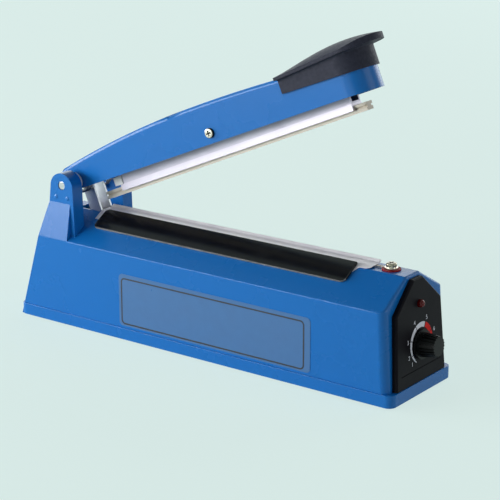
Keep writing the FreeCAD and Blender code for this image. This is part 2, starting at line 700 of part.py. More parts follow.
def spring_shape():
    """One torsion spring around the pin: a leg down to the slope, the coil and a leg under the roof."""
    radius = S.coil_radius.value
    wire = S.wire_diameter.value
    pitch = S.coil_pitch.value
    outer = ARM_INNER.value - S.coil_gap.value - wire / 2
    axis = Vector(PIVOT_X.value, 0, PIVOT_Z.value)
    first = math.pi
    whole_turns = 2
    last = math.pi / 2 + math.radians(S.open_angle.value) - 2 * math.pi * whole_turns

    def spot(angle):
        climb = (first - angle) / (2 * math.pi) * pitch
        return axis + Vector(radius * math.cos(angle), climb - outer, radius * math.sin(angle))

    def heading(angle):
        return Vector(radius * math.sin(angle), pitch / (2 * math.pi), -radius * math.cos(angle)).normalize()

    quarters = math.ceil((first - last) / (math.pi / 2))
    angles = [first + (last - first) * step / quarters for step in range(quarters + 1)]
    slope_z = TOP_Z.value - (outer - TOP_HALF.value) * SLOPE.value
    fall = (spot(first).z - slope_z - wire) / heading(first).z
    foot = spot(first) - heading(first) * fall
    toe = spot(last) + heading(last) * S.spring_leg.value
    edges = [Part.LineSegment(foot, spot(first)).toShape()]
    for before, after in zip(angles, angles[1:]):
        edges += biarc(spot(before), heading(before), spot(after), heading(after))
    edges.append(Part.LineSegment(spot(last), toe).toShape())
    section = Part.Wire(Part.Circle(foot, heading(first), wire / 2).toShape())
    least = least_turn_gap(spot, first, last) - wire
    print("lift spring, least gap between turns in mm:", round(least, 3))
    return Part.Wire(edges).makePipeShell([section], True, False)


def least_turn_gap(spot, first, last):
    """The least distance between points of a coil's line that lie half a turn or more apart."""
    steps = 180
    points = [spot(first + (last - first) * step / steps) for step in range(steps + 1)]
    apart = math.ceil(math.pi / ((first - last) / steps))
    return min((points[low] - points[high]).Length
               for low in range(steps + 1) for high in range(low + apart, steps + 1))


def build_sealing_top():
    """The heat bar, heating element, PTFE cover, clamp plates and the element's two ends."""
    half = S.heat_bar_width / 2
    bar = box("heat_bar_box", (HEAT_BAR_START, -half, TOP_Z), (HEAT_BAR_END, half, BAR_TOP_Z))
    band = S.element_width / 2
    strip = box("element_strip", (ANCHOR_LEFT, -band, BAR_TOP_Z), (TERMINAL_X, band, ELEMENT_TOP))
    anchor_low = TOP_Z - S.shell_wall - S.anchor_height
    leg = box("element_leg", (ANCHOR_LEFT, -band, anchor_low), (ANCHOR_X, band, BAR_TOP_Z))
    eye = rod("element_eye", "Z", S.lug_radius, (TERMINAL_X, ZERO, BAR_TOP_Z), S.element_thickness)
    shank = rod("element_hole", "Z", S.terminal_radius, (TERMINAL_X, ZERO, TOP_Z), S.heat_bar_height * 2)
    slit = box("heat_bar_slit", (ANCHOR_LEFT, -band, TOP_Z), (ANCHOR_X, band, BAR_TOP_Z))
    node("heat_bar", cut("heat_bar_cut", bar, slit))
    node("heating_element", cut("element_cut", fuse("element_form", strip, leg, eye), shank))
    anchor_half = S.anchor_width / 2
    node("element_anchor", box("anchor_box", (ANCHOR_X, -anchor_half, anchor_low),
                               (ANCHOR_X + S.anchor_length, anchor_half, TOP_Z - S.shell_wall)))
    build_cover(half)
    build_clamps()
    build_terminal()


def build_cover(half):
    """The PTFE cloth: over the element and down both slopes under the clamp plates."""
    rise = S.ptfe_thickness * SLOPE_LENGTH
    low_y = TOP_HALF + S.ptfe_reach
    low_z = TOP_Z - S.ptfe_reach * SLOPE
    over = [(-low_y, low_z), (-low_y, low_z + rise), (-TOP_HALF, TOP_Z + rise), (-half, COVER_TOP)]
    under = [(half, ELEMENT_TOP), (-half, ELEMENT_TOP)]
    steps = over + [(-y, z) for y, z in reversed(over)] + [(TOP_HALF, TOP_Z)] + under + [(-TOP_HALF, TOP_Z)]
    start = HEAT_BAR_START - S.ptfe_lap_start
    end = HEAT_BAR_END + S.ptfe_lap_end
    node("ptfe_cover", prism("ptfe_cover_sheet", "YZ", steps, start, end))


def build_clamps():
    """The two black clamp plates, studded through the slopes, and their nuts."""
    front_plate, front_nuts = clamp(ZERO)
    rear_plate, rear_nuts = clamp(S.rear_clamp_shift)
    node("front_clamp_plate", front_plate)
    node("rear_clamp_plate", mirror("rear_clamp", rear_plate))
    node("clamp_nuts", group("clamp_nut_set", front_nuts, mirror("rear_clamp_nuts", rear_nuts)))


def clamp(shift):
    """A clamp plate with its studs, and its nuts, on the front slope and lower on it by a shift."""
    body = DOC.addObject("PartDesign::Body", "clamp_plate_body")
    sketch = sketch_in(body, "XY_Plane")
    low = -S.clamp_drop - shift
    high = S.clamp_lip - shift
    draw(sketch, [(CLAMP_START, low), (CLAMP_END, low), (CLAMP_END, high), (CLAMP_START, high)])
    pad(body, sketch, S.clamp_thickness)
    dress(body, "Fillet", S.clamp_radius, lambda edge: is_along(edge, "Z"))
    move(body, (ZERO, ZERO, S.ptfe_thickness))
    length = S.stud_length + S.ptfe_thickness
    stud_y = -S.stud_drop - shift
    studs = [rod("clamp_stud", "Z", S.stud_radius, (x, stud_y, -S.stud_length), length)
             for x in stud_places()]
    seat = 0 - S.shell_wall - S.clamp_nut_height
    nuts = [tube("clamp_nut", "Z", S.nut_radius, S.stud_radius, (x, stud_y, seat), S.clamp_nut_height)
            for x in stud_places()]
    return on_slope(fuse("clamp_plate", body, *studs)), on_slope(group("clamp_nut_row", *nuts))


def build_terminal():
    """The element's screw terminal at the panel end, with its red fibre and steel washers."""
    x = TERMINAL_X
    upper = tube("upper_fibre", "Z", S.fibre_radius, S.terminal_radius, (x, ZERO, TOP_Z), S.fibre_thickness)
    under = TOP_Z - S.shell_wall - S.fibre_thickness
    lower = tube("lower_fibre", "Z", S.fibre_radius, S.terminal_radius, (x, ZERO, under), S.fibre_thickness)
    node("fibre_washers", group("fibre_washer_set", upper, lower))
    thick = S.washer_thickness
    flat = tube("flat_washer", "Z", S.washer_radius, S.terminal_radius, (x, ZERO, ELEMENT_TOP), thick)
    lock_z = ELEMENT_TOP + thick
    lock = tube("lock_washer", "Z", S.lock_radius, S.terminal_radius, (x, ZERO, lock_z), thick)
    node("terminal_washers", group("terminal_washer_set", flat, lock))
    seat = lock_z + thick
    end = TOP_Z - S.terminal_depth
    shank = rod("terminal_shank", "Z", S.terminal_radius, (x, ZERO, end), seat - end)
    head = pan_head("terminal_head", S.terminal_head_radius, S.terminal_head_height)
    move(head, (x, ZERO, seat))
    node("terminal_screw", fuse("terminal_screw_form", shank, head))
    node("terminal_nut", tube("terminal_nut_ring", "Z", S.nut_radius, S.terminal_radius,
                              (x, ZERO, under - S.nut_height), S.nut_height))


def pan_head(name, radius, height):
    """A pan head with a cross recess, standing on the XY plane."""
    blank = rod(f"{name}_blank", "Z", radius, (ZERO, ZERO, ZERO), height)
    middle = height.value / 2
    domed = round_edges(f"{name}_dome", blank, height / 2, lambda edge: edge.CenterOfMass.z > middle)
    arm = radius * CROSS_REACH
    slot = radius * CROSS_SLOT
    bars = [box(f"{name}_slot", (-long, -wide, height / 2), (long, wide, height * 2))
            for long, wide in ((arm, slot), (slot, arm))]
    return cut(name, domed, *bars)


def build_panel():
    """The black control panel with the lamp, potentiometer, timer board and knob."""
    body = DOC.addObject("PartDesign::Body", "control_panel_body")
    sketch = sketch_in(body, "YZ_Plane")
    right_side = [(S.panel_low_half, S.panel_low), (S.panel_mid_half, PANEL_MID),
                  (S.panel_high_half, PANEL_HIGH)]
    draw(sketch, right_side + [(-y, z) for y, z in reversed(right_side)])
    ring(sketch, 0, S.dial_height, S.bushing_radius)
    ring(sketch, 0, LAMP_HEIGHT, S.lamp_radius)
    pad(body, sketch, S.panel_thickness)
    dress(body, "Chamfer", S.panel_bevel, on_panel_rim)
    groove = sketch_in(body, "YZ_Plane")
    move(groove, (ZERO, ZERO, ZERO))
    groove.MapMode = "FlatFace"
    groove.setExpression("AttachmentOffset.Base.z", S.panel_thickness.text)
    draw(groove, [(-S.panel_groove_half, S.panel_groove), (S.panel_groove_half, S.panel_groove),
                  (S.panel_groove_half, S.panel_groove + S.panel_groove_size),
                  (-S.panel_groove_half, S.panel_groove + S.panel_groove_size)])
    pocket(body, groove, S.panel_groove_size)
    node("control_panel", on_panel(body))
    build_lamp()
    build_potentiometer()
    build_knob()


def on_panel_rim(edge):
    """The straight edges of the panel's face, apart from its lowest."""
    middle = edge.CenterOfMass
    on_face = abs(middle.x - S.panel_thickness.value) < 0.01 and len(edge.Vertexes) == 2
    return on_face and edge.Curve.TypeId == "Part::GeomLine" and middle.z > S.panel_low.value + 1


def build_lamp():
    """The red indicator lamp: a domed lens with a flange behind the panel."""
    body = DOC.addObject("PartDesign::Body", "lamp_body")
    sketch = sketch_in(body, "XZ_Plane")
    face = S.panel_thickness + S.lamp_proud
    draw(sketch, [(-S.lamp_depth, 0), (face + S.lamp_radius, 0), (face, S.lamp_radius, S.lamp_radius),
                  (0, S.lamp_radius), (0, S.lamp_flange), (-S.flange_thickness, S.lamp_flange),
                  (-S.flange_thickness, S.lamp_radius), (-S.lamp_depth, S.lamp_radius)])
    revolve(body, sketch, "X_Axis")
    move(body, (ZERO, ZERO, LAMP_HEIGHT))
    node("indicator_lamp", on_panel(group("indicator_lamp_set", body)))


def build_potentiometer():
    """The potentiometer behind the panel, its nut, and the timer board that its pins carry."""
    start = (-S.pot_depth, ZERO, S.dial_height)
    can = rod("pot_can", "X", S.pot_radius, start, S.pot_depth)
    reach = S.pot_depth + S.panel_thickness + S.bushing_length
    bushing = rod("pot_bushing", "X", S.bushing_radius, start, reach)
    bore = rod("pot_bore", "X", S.shaft_radius + S.running_gap, (-S.shaft_inside, ZERO, S.dial_height), FAR)
    node("potentiometer", on_panel(cut("pot_cut", fuse("pot_form", can, bushing), bore)))
    nut = tube("pot_nut_ring", "X", S.pot_nut_radius, S.bushing_radius,
               (S.panel_thickness, ZERO, S.dial_height), S.pot_nut_height)
    node("pot_nut", on_panel(nut))
    back = 0 - S.pot_depth - S.board_thickness
    half = S.board_width / 2
    low = S.dial_height - S.board_height / 2
    board = box("timer_board_box", (back, -half, low), (-S.pot_depth, half, low + S.board_height))
    node("timer_board", on_panel(board_in_panel(board)))
    wide = S.relay_width / 2
    tall = S.relay_height / 2
    relay = box("relay_box", (back - S.relay_depth, S.part_spread - wide, S.dial_height - tall),
                (back, S.part_spread + wide, S.dial_height + tall))
    node("timer_relay", on_panel(board_in_panel(relay)))
    spot = (back - S.capacitor_length, -S.part_spread, S.dial_height)
    can = rod("capacitor_can", "X", S.capacitor_radius, spot, S.capacitor_length)
    node("timer_capacitor", on_panel(board_in_panel(can)))


def board_in_panel(item):
    """Holds a piece that has its own place, so that it can be stood in the panel's frame."""
    return group(f"{item.Name}_set", item)


def build_knob():
    """The fluted timer knob and the potentiometer's shaft that turns with it."""
    body = DOC.addObject("PartDesign::Body", "knob_body")
    sketch = sketch_in(body, "XZ_Plane")
    skirt = S.knob_skirt
    length = S.knob_length
    draw(sketch, [(S.knob_hollow_depth, S.shaft_radius), (S.shaft_grip, S.shaft_radius), (S.shaft_grip, 0),
                  (length, 0), (length, S.knob_tip_radius), (skirt, S.knob_grip_radius),
                  (skirt, S.knob_radius), (0, S.knob_radius), (0, S.knob_hollow_radius),
                  (S.knob_hollow_depth, S.knob_hollow_radius)])
    revolve(body, sketch, "X_Axis")
    DOC.recompute()
    cut_flutes(body, skirt, length)
    face = S.panel_thickness + S.knob_gap
    move(body, (face, ZERO, S.dial_height))
    node("timer_knob", on_panel(group("timer_knob_set", body)))
    shaft = rod("shaft_rod", "X", S.shaft_radius, (S.side_gap - S.shaft_inside, ZERO, S.dial_height),
                S.shaft_inside - S.side_gap + face + S.shaft_grip)
    node("pot_shaft", on_panel(board_in_panel(shaft)))


def cut_flutes(body, skirt, length):
    """Grooves along the knob's taper, one cut and repeated around the axis."""
    sketch = sketch_in(body, "XZ_Plane")
    depth = S.flute_radius
    run_in = skirt + S.knob_skirt
    draw(sketch, [(run_in, S.knob_radius + depth), (run_in, taper_radius(run_in) - depth),
                  (length + depth, S.knob_tip_radius - depth), (length + depth, S.knob_radius + depth)])
    before = body.Shape.Volume
    item = body.newObject("PartDesign::Pocket", "knob_flute")
    item.Profile = sketch
    item.SideType = "Symmetric"
    bind(item, Length=S.flute_radius)
    pattern = body.newObject("PartDesign::PolarPattern", "knob_flutes")
    pattern.Originals = [item]
    line = next(feature for feature in body.Origin.OriginFeatures if feature.Role == "X_Axis")
    pattern.Axis = (line, [""])
    pattern.Angle = 360
    pattern.Occurrences = int(S.flute_count.value)
    bind(pattern, Occurrences=S.flute_count)
    body.Tip = pattern
    DOC.recompute()
    if body.Shape.Volume >= before:
        raise RuntimeError("the knob's flutes cut nothing")


def taper_radius(reach):
    """The radius of the knob's grip at a distance from its back."""
    share = (reach - S.knob_skirt) / (S.knob_length - S.knob_skirt)
    return S.knob_grip_radius - share * (S.knob_grip_radius - S.knob_tip_radius)


def build_transformer():
    """The transformer on the bottom plate: a stacked core with two windows, its coil and a strap."""
    leg = S.core_width / 3
    window = S.core_width / 6
    half = S.core_stack / 2
    low = PLATE_TOP
    left = S.core_x - S.core_width / 2
    right = S.core_x + S.core_width / 2
    high = low + S.core_height
    block = box("core_block", (left, -half, low), (right, half, high))
    holes = [box("core_window", (x, -half, low + window), (x + window, half, high - window))
             for x in (left + window, right - window * 2)]
    node("transformer_core", cut("core_cut", block, *holes))
    gap = S.coil_gap_wide
    wide = leg / 2 + window - gap
    deep = half + S.coil_overhang
    outer = box("coil_block", (S.core_x - wide, -deep, low + window),
                (S.core_x + wide, deep, high - window - gap))
    inner = box("coil_hole", (S.core_x - leg / 2, -half, low), (S.core_x + leg / 2, half, high))
    node("transformer_coil", cut("coil_cut", outer, inner))
    sheet = S.strap_sheet
    foot = S.strap_foot
    steps = [(left - sheet - foot, low), (left, low), (left, high), (right, high), (right, low),
             (right + sheet + foot, low), (right + sheet + foot, low + sheet), (right + sheet, low + sheet),
             (right + sheet, high + sheet), (left - sheet, high + sheet), (left - sheet, low + sheet),
             (left - sheet - foot, low + sheet)]
    strap = prism("strap_form", "XZ", steps, -S.strap_width / 2, S.strap_width / 2)
    places = [left - sheet - foot / 2, right + sheet + foot / 2]
    holes = [rod("strap_hole", "Z", S.screw_radius, (x, ZERO, low), sheet) for x in places]
    node("transformer_strap", cut("strap_cut", strap, *holes))
    screws = []
    for x in places:
        shank = rod("strap_shank", "Z", S.screw_radius, (x, ZERO, low), sheet)
        head = rod("strap_head", "Z", S.screw_head_radius, (x, ZERO, low + sheet), S.screw_head_height)
        screws.append(fuse("strap_screw", shank, head))
    node("strap_screws", group("strap_screw_set", *screws))


def switch_screw_places():
    """The places of the micro switch's two screws, across and up."""
    height = SWITCH_LOW + S.pilot_rise
    return [(side * S.pilot_spread, height) for side in (-1, 1)]


def build_switch():
    """The micro switch behind the tongue, its screws and its sprung plunger."""
    low = SWITCH_LOW
    half = S.switch_width / 2
    case = box("switch_case", (SWITCH_BACK, -half, low), (SWITCH_FACE, half, low + S.switch_height))
    axis_z = low + S.plunger_rise
    inside = SWITCH_FACE - S.plunger_inside
    loose = S.plunger_radius + S.running_gap
    bore = rod("plunger_bore", "X", loose, (inside, ZERO, axis_z), S.plunger_inside)
    holes = [rod("switch_hole", "X", S.pilot_radius, (SWITCH_BACK, y, z), S.switch_depth)
             for y, z in switch_screw_places()]
    node("micro_switch", cut("switch_cut", case, bore, *holes))
    start = inside + S.plunger_inside / 2
    node("switch_plunger", rod("plunger_rod", "X", S.plunger_radius, (start, ZERO, axis_z),
                               SWITCH_FACE + S.plunger_proud - start))
    end = SWITCH_BACK - S.pilot_depth
    screws = []
    for y, z in switch_screw_places():
        shank = rod("switch_shank", "X", S.pilot_radius, (end, y, z), SWITCH_FACE - end)
        head = rod("switch_head", "X", S.pilot_radius * 2, (SWITCH_FACE, y, z), S.pilot_radius)
        screws.append(fuse("switch_screw", shank, head))
    node("switch_screws", group("switch_screw_set", *screws))


def build_inlet_and_label():
    """The rubber grommet in the rear wall for a mains lead, and the bare label film on the front."""
    centre_z = RIM + S.inlet_height
    outside = SHELL_HALF
    inside = SHELL_HALF - S.shell_wall
    spot = (INLET_X, inside - S.inlet_flange_height, centre_z)
    length = S.shell_wall + S.inlet_flange_height * 2
    neck = rod("inlet_neck_rod", "Y", S.inlet_neck, spot, length)
    rims = [rod("inlet_rim", "Y", S.inlet_flange, (INLET_X, y, centre_z), S.inlet_flange_height)
            for y in (spot[1], outside)]
    bore = rod("inlet_bore_rod", "Y", S.inlet_bore, spot, length)
    node("cord_grommet", cut("grommet_cut", fuse("grommet_form", neck, *rims), bore))
    body = DOC.addObject("PartDesign::Body", "label_body")
    sketch = sketch_in(body, "XZ_Plane")
    low = RIM + S.label_low
    high = low + S.label_height
    start = S.label_inset - HALF_LENGTH
    end = start + S.label_length
    draw(sketch, [(start, low), (end, low), (end, high), (start, high)])
    pad(body, sketch, S.label_thickness)
    dress(body, "Fillet", S.label_radius, lambda edge: is_along(edge, "Y"))
    node("label_film", move(body, (ZERO, -SHELL_HALF, ZERO)))


def bow_radius(drop, run):
    """The radius of an arc that falls by a drop over a run from its crest."""
    return (drop * drop + run * run) / (drop * 2)


def arm_form(name, inset, tail, low):
    """The arm's outer form, or its hollow when the walls move in and the tail and underside move out."""
    tip = S.arm_tip - inset
    half = ARM_HALF - inset
    crest = S.crest_top - inset
    fore = bow_radius(S.crest_top - S.tip_top, S.arm_tip - S.crest_u)
    aft = bow_radius(S.crest_top - S.nape_top, S.crest_u + S.nape_back)
    side = [(S.crest_u, crest, fore), (-S.nape_back, S.nape_top - inset, aft)] + tail
    side = low + [(tip, S.tip_top - inset)] + side
    plan = [(-FAR, -half), (tip - half, -half), (tip, 0, half), (tip - half, half, half), (-FAR, half)]
    side_form = prism(f"{name}_side", "XZ", side, -half, half)
    return common(name, side_form, prism(f"{name}_plan", "XY", plan, -FAR, FAR))


def arm_envelope():
    """The arm's outer form with rounded upper edges."""
    tail = []
    low = [(-S.heel_back, -S.heel_drop, S.nape_radius), (S.arm_tip, -S.tip_drop)]
    blank = arm_form("arm_blank", ZERO, tail, low)
    return round_edges("arm_envelope", blank, S.arm_edge_radius, on_arm_top)


def on_arm_top(edge):
    """The long upper edges of the arm and the one around its tip."""
    bent = edge.Curve.TypeId != "Part::GeomLine"
    return bent and edge.CenterOfMass.z > S.tip_top.value - 1 and edge.Length > ARM_HALF.value


def build_arm():
    """The lever arm, its handle cap, and what is fixed in it."""
    envelope = arm_envelope()
    deep = S.crest_top * 2
    hollow = arm_form("arm_hollow", S.arm_wall, [(-FAR, S.nape_top - S.arm_wall)],
                      [(-FAR, -deep), (S.arm_tip - S.arm_wall, -deep)])
    half = S.tongue_width / 2
    pad_block = box("tongue_pad", (-S.tongue_back, -half, S.tongue_top), (S.tongue_front, half, deep))
    pad_piece = common("tongue_seat", pad_block, envelope)
    whole = fuse("arm_whole", cut("arm_channel", envelope, hollow), pad_piece)
    bore = rod("arm_bore", "Y", PIN_RADIUS + S.running_gap, (ZERO, -FAR, ZERO), FAR * 2)
    rock = rod("rock_bore", "Y", S.rock_radius, (S.rock_u, -FAR, ZERO), FAR * 2)
    spot = (tongue_screw_u(), ZERO, ZERO)
    seat = rod("tongue_screw_hole", "Z", S.screw_radius, spot, S.tongue_top + S.screw_radius * 2)
    holes = [rod("cap_hole", "Z", S.screw_radius, (u, ZERO, ZERO), deep) for u in cap_screw_places()]
    node("arm_shell", on_arm(cut("arm_cut", whole, bore, rock, seat, *holes)))
    build_cap(envelope)
    build_tongue()
    build_rock_screw()


def tongue_screw_u():
    return (S.tongue_front - S.tongue_back) / 2


def cap_screw_places():
    return (S.cap_screw_near, S.cap_screw_far)


def arm_roof(along):
    """The height of the arm's top at a place ahead of its crest."""
    run = along - S.crest_u
    fore = bow_radius(S.crest_top - S.tip_top, S.arm_tip - S.crest_u)
    return S.crest_top - fore + root(fore * fore - run * run)


def build_cap(envelope):
    """The black handle cap: a shell around the arm's tip under a wide crowned visor."""
    start = S.cap_start
    centre = S.arm_tip - ARM_HALF
    plan = [(start, -CAP_HALF), (centre, -CAP_HALF), (centre + CAP_HALF, 0, CAP_HALF),
            (centre, CAP_HALF, CAP_HALF), (start, CAP_HALF)]
    end = centre + CAP_HALF
    side = [(start, S.cap_low_start), (end, S.cap_low_end), (end, visor_low(end) + S.visor_rim / 2),
            (start, visor_low(start) + S.visor_rim / 2)]
    side_form = prism("cap_side", "XZ", side, -FAR, FAR)
    skirt = common("cap_skirt", prism("cap_plan", "XY", plan, ZERO, FAR), side_form)
    form = round_edges("cap_round", fuse("cap_form", skirt, visor()), S.visor_root, under_visor)
    tools = [envelope]
    screws = []
    for u in cap_screw_places():
        end = arm_roof(u) + S.cap_screw_reach
        tools.append(rod("cap_pilot", "Z", S.screw_radius, (u, ZERO, ZERO), end))
        seat = arm_roof(u) - S.arm_wall - S.cap_screw_gap
        spot = (u, ZERO, seat - S.screw_head_height)
        head = rod("cap_head", "Z", S.screw_head_radius, spot, S.screw_head_height)
        shank = rod("cap_shank", "Z", S.screw_radius, (u, ZERO, seat), end - seat)
        screws.append(fuse("cap_screw", head, shank))
    node("handle_cap", on_arm(cut("cap_cut", form, *tools)))
    node("cap_screws", on_arm(group("cap_screw_set", *screws)))


def under_visor(edge):
    """The edges where the cap's outer wall meets the visor's underside."""
    spot = edge.valueAt((edge.FirstParameter + edge.LastParameter) / 2)
    nose = max(spot.x - S.arm_tip.value + ARM_HALF.value, 0)
    on_wall = abs(math.hypot(nose, spot.y) - CAP_HALF.value) < 0.01
    return on_wall and abs(spot.z - visor_low(as_size(spot.x)).value) < 0.01


def visor_low(along):
    """The height of the visor's underside."""
    share = (along - S.visor_start) / (S.visor_tip - S.visor_start)
    return S.visor_low_start + share * (S.visor_low_end - S.visor_low_start)


def visor():
    """The visor: a crowned plate lofted along the arm, with a round nose."""
    half = CAP_HALF + S.visor_overhang
    stations = ((S.visor_start, S.crown_start), (S.visor_start + S.visor_swell, S.crown_swell),
                (S.visor_start + S.visor_peak, S.crown_peak), (S.visor_tip, S.crown_tip))
    loft = DOC.addObject("Part::Loft", "visor_loft")
    loft.Sections = [visor_section(place, rise, half) for place, rise in stations]
    loft.Solid = True
    nose = S.visor_tip - half
    plan = [(S.visor_start, -half), (nose, -half), (S.visor_tip, 0, half), (nose, half, half),
            (S.visor_start, half)]
    return common("visor", loft, prism("visor_plan", "XY", plan, ZERO, FAR))


def visor_section(along, rise, half):
    """One cross-section of the visor: a flat underside, two short sides and a crowned top."""
    sketch = DOC.addObject("Sketcher::SketchObject", "visor_section")
    move(sketch, (along, ZERO, ZERO), PLANES["YZ"][1])
    low = visor_low(along)
    rim = low + S.visor_rim
    bend = (half * half + rise * rise) / (rise * 2)
    draw(sketch, [(-half, low), (half, low), (half, rim), (-half, rim, bend)])
    return sketch


def build_tongue():
    """The steel tongue: two cheeks on the hinge pin with a foot that reaches the micro switch."""
    half = S.tongue_width / 2
    sheet = S.tongue_sheet
    back = -S.tongue_back
    front = S.tongue_front
    deep = -S.tongue_reach
    cheeks = [box("tongue_cheek", (back, y, deep), (front, y + sheet, S.tongue_top))
              for y in (-half, half - sheet)]
    roof = box("tongue_roof", (back, -half, S.tongue_top - sheet), (front, half, S.tongue_top))
    foot = box("tongue_foot_plate", (back, -half, deep), (back + sheet, half, deep + S.tongue_foot))
    bore = rod("tongue_bore", "Y", PIN_RADIUS + S.running_gap, (ZERO, -half, ZERO), half * 2)
    hole = rod("tongue_hole", "Z", S.screw_radius, (tongue_screw_u(), ZERO, ZERO), S.tongue_top)
    node("switch_tongue", on_arm(cut("tongue_cut", fuse("tongue_form", *cheeks, roof, foot), bore, hole)))
    seat = S.tongue_top - sheet
    u = tongue_screw_u()
    spot = (u, ZERO, seat - S.screw_head_height)
    head = rod("tongue_head", "Z", S.screw_head_radius, spot, S.screw_head_height)
    shank = rod("tongue_shank", "Z", S.screw_radius, (u, ZERO, seat), sheet + S.screw_radius * 2)
    node("tongue_screw", on_arm(fuse("tongue_screw_form", head, shank)))


def build_rock_screw():
    """The side screw that the pressure bar rocks on, with its nut and two spacers."""
    u = S.rock_u
    head = pan_head("rock_head", S.rock_head_radius, S.rock_head_height)
    move(head, (u, -ARM_HALF, ZERO), Rotation(Vector(1, 0, 0), 90))
    shank = rod("rock_shank", "Y", S.rock_radius, (u, -ARM_HALF, ZERO), S.arm_width + S.nut_height)
    node("rock_screw", on_arm(fuse("rock_screw_form", head, shank)))
    nut = tube("rock_nut_ring", "Y", S.nut_radius, S.rock_radius, (u, ARM_HALF, ZERO), S.nut_height)
    node("rock_nut", on_arm(nut))
    inner = S.carrier_width / 2 + S.side_gap
    spacer = tube("rock_spacer", "Y", S.spacer_radius, S.rock_radius, (u, inner, ZERO), ARM_INNER - inner)
    node("rock_spacers", on_arm(group("rock_spacer_set", spacer, mirror("front_rock_spacer", spacer))))


def build_bar():
    """The rocking pressure bar: sheet carrier, aluminium section, silicone strip and end clip."""
    left = S.bar_start
    right = left + S.bar_length
    floor = -S.bar_top
    side = floor + S.carrier_side
    lug = floor + S.carrier_side + S.carrier_lug
    wide = S.lug_half + S.lug_slant
    steps = [(left, floor), (right, floor), (right, side), (S.rock_u + wide, side),
             (S.rock_u + S.lug_half, lug), (S.rock_u - S.lug_half, lug), (S.rock_u - wide, side),
             (left, side)]
    half = S.carrier_width / 2
    blank = prism("carrier_blank", "XZ", steps, -half, half)
    inner = half - S.carrier_sheet
    trough = box("carrier_trough", (left, -inner, floor + S.carrier_sheet), (right, inner, lug))
    bore = rod("carrier_bore", "Y", S.rock_radius + S.running_gap, (S.rock_u, -half, ZERO), S.carrier_width)
    node("bar_carrier", on_arm(cut("carrier_cut", blank, trough, bore)))
    build_section("pressure_bar", bar_outline(), left, S.bar_length)
    build_section("silicone_strip", strip_outline(), S.strip_start, S.strip_end - S.strip_start)
    outer = half + S.clip_wall
    clip = box("clip_block", (S.clip_start, -outer, floor),
               (S.clip_start + S.clip_length, outer, floor + S.clip_height))
    node("bar_clip", on_arm(cut("clip_cut", clip, prism("clip_room", "XZ", steps, -half, half))))


def bar_outline():
    """The aluminium section: a flat bar with a T groove for the silicone along its underside."""
    half = S.bar_width / 2
    top = -S.bar_top
    mouth = S.groove_mouth / 2
    wide = S.groove_width / 2
    lip = BAR_LOW + S.groove_lip
    roof = lip + S.groove_depth
    right = [(half, BAR_LOW), (half, top)]
    left = [(-half, top), (-half, BAR_LOW)]
    groove = [(-mouth, BAR_LOW), (-mouth, lip), (-wide, lip), (-wide, roof)]
    return right + left + groove + [(-y, z) for y, z in reversed(groove)]


def strip_outline():
    """The silicone section: a pad, a neck through the groove's mouth and a head in the groove."""
    gap = S.strip_gap
    half = S.strip_width / 2
    neck = S.groove_mouth / 2 - gap
    head = S.groove_width / 2 - gap
    lip = BAR_LOW + S.groove_lip + gap
    roof = BAR_LOW + S.groove_lip + S.groove_depth - gap
    right = [(half, STRIP_LOW), (half, BAR_LOW - gap), (neck, BAR_LOW - gap), (neck, lip), (head, lip),
             (head, roof)]
    return right + [(-y, z) for y, z in reversed(right)]


def build_section(name, steps, start, length):
    """A bar of one section along the arm."""
    body = DOC.addObject("PartDesign::Body", f"{name}_body")
    sketch = sketch_in(body, "YZ_Plane")
    draw(sketch, steps)
    pad(body, sketch, length)
    move(body, (start, ZERO, ZERO))
    node(name, on_arm(group(f"{name}_set", body)))


def check_and_export():
    """Stops on a failed object or a bad solid, then writes one file for each sub-part."""
    DOC.recompute()
    failed = [item.Name for item in DOC.Objects if {"Invalid", "Error"} & set(item.State)]
    if failed:
        raise RuntimeError(f"failed objects: {failed}")
    os.makedirs("parts", exist_ok=True)
    for label, item in NODES.items():
        if item.Shape.isNull() or not item.Shape.isValid() or not item.Shape.Solids:
            raise RuntimeError(f"bad shape: {label}")
    for label, item in NODES.items():
        item.Shape.exportStep(os.path.join("parts", f"{label}.step"))
    print("sub-parts written:", len(NODES))


build_housing()
build_bottom()
build_hinge()
build_sealing_top()
build_panel()
build_transformer()
build_switch()
build_inlet_and_label()
build_arm()
build_bar()
check_and_export()
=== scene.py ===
"""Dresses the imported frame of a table-top impulse heat sealer for its studio picture.

The CAD nodes give the rigid shapes. This script gives every node its finish, makes the wound springs, the
cloth over the heating wire, the clamp plates and the print of the dial and the label, and sets up the studio.
The pieces' sizes are in millimetres and the studio's in metres. Every mesh is in metres, in the frame of the
CAD model.
"""

import logging
import math
from dataclasses import dataclass
from enum import Enum

import bmesh
import bpy
from mathutils import Matrix, Vector


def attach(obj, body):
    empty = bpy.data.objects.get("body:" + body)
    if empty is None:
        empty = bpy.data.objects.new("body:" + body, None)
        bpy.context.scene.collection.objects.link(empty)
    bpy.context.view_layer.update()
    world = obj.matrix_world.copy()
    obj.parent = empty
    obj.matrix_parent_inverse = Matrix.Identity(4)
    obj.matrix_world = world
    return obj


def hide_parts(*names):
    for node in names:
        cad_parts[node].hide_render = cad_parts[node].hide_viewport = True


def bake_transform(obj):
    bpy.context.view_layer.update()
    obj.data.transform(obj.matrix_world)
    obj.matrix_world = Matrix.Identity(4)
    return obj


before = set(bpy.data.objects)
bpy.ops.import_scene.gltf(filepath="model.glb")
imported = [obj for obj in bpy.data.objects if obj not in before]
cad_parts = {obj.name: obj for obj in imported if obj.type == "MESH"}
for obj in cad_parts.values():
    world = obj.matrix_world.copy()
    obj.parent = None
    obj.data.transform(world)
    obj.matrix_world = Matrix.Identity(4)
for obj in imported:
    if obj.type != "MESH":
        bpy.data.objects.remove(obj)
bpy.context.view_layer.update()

LOG = logging.getLogger("heat_sealer")
MM = 0.001
WAVE_PERIOD = math.pi / 10  # one band of Blender's wave texture at scale 1, in its own units
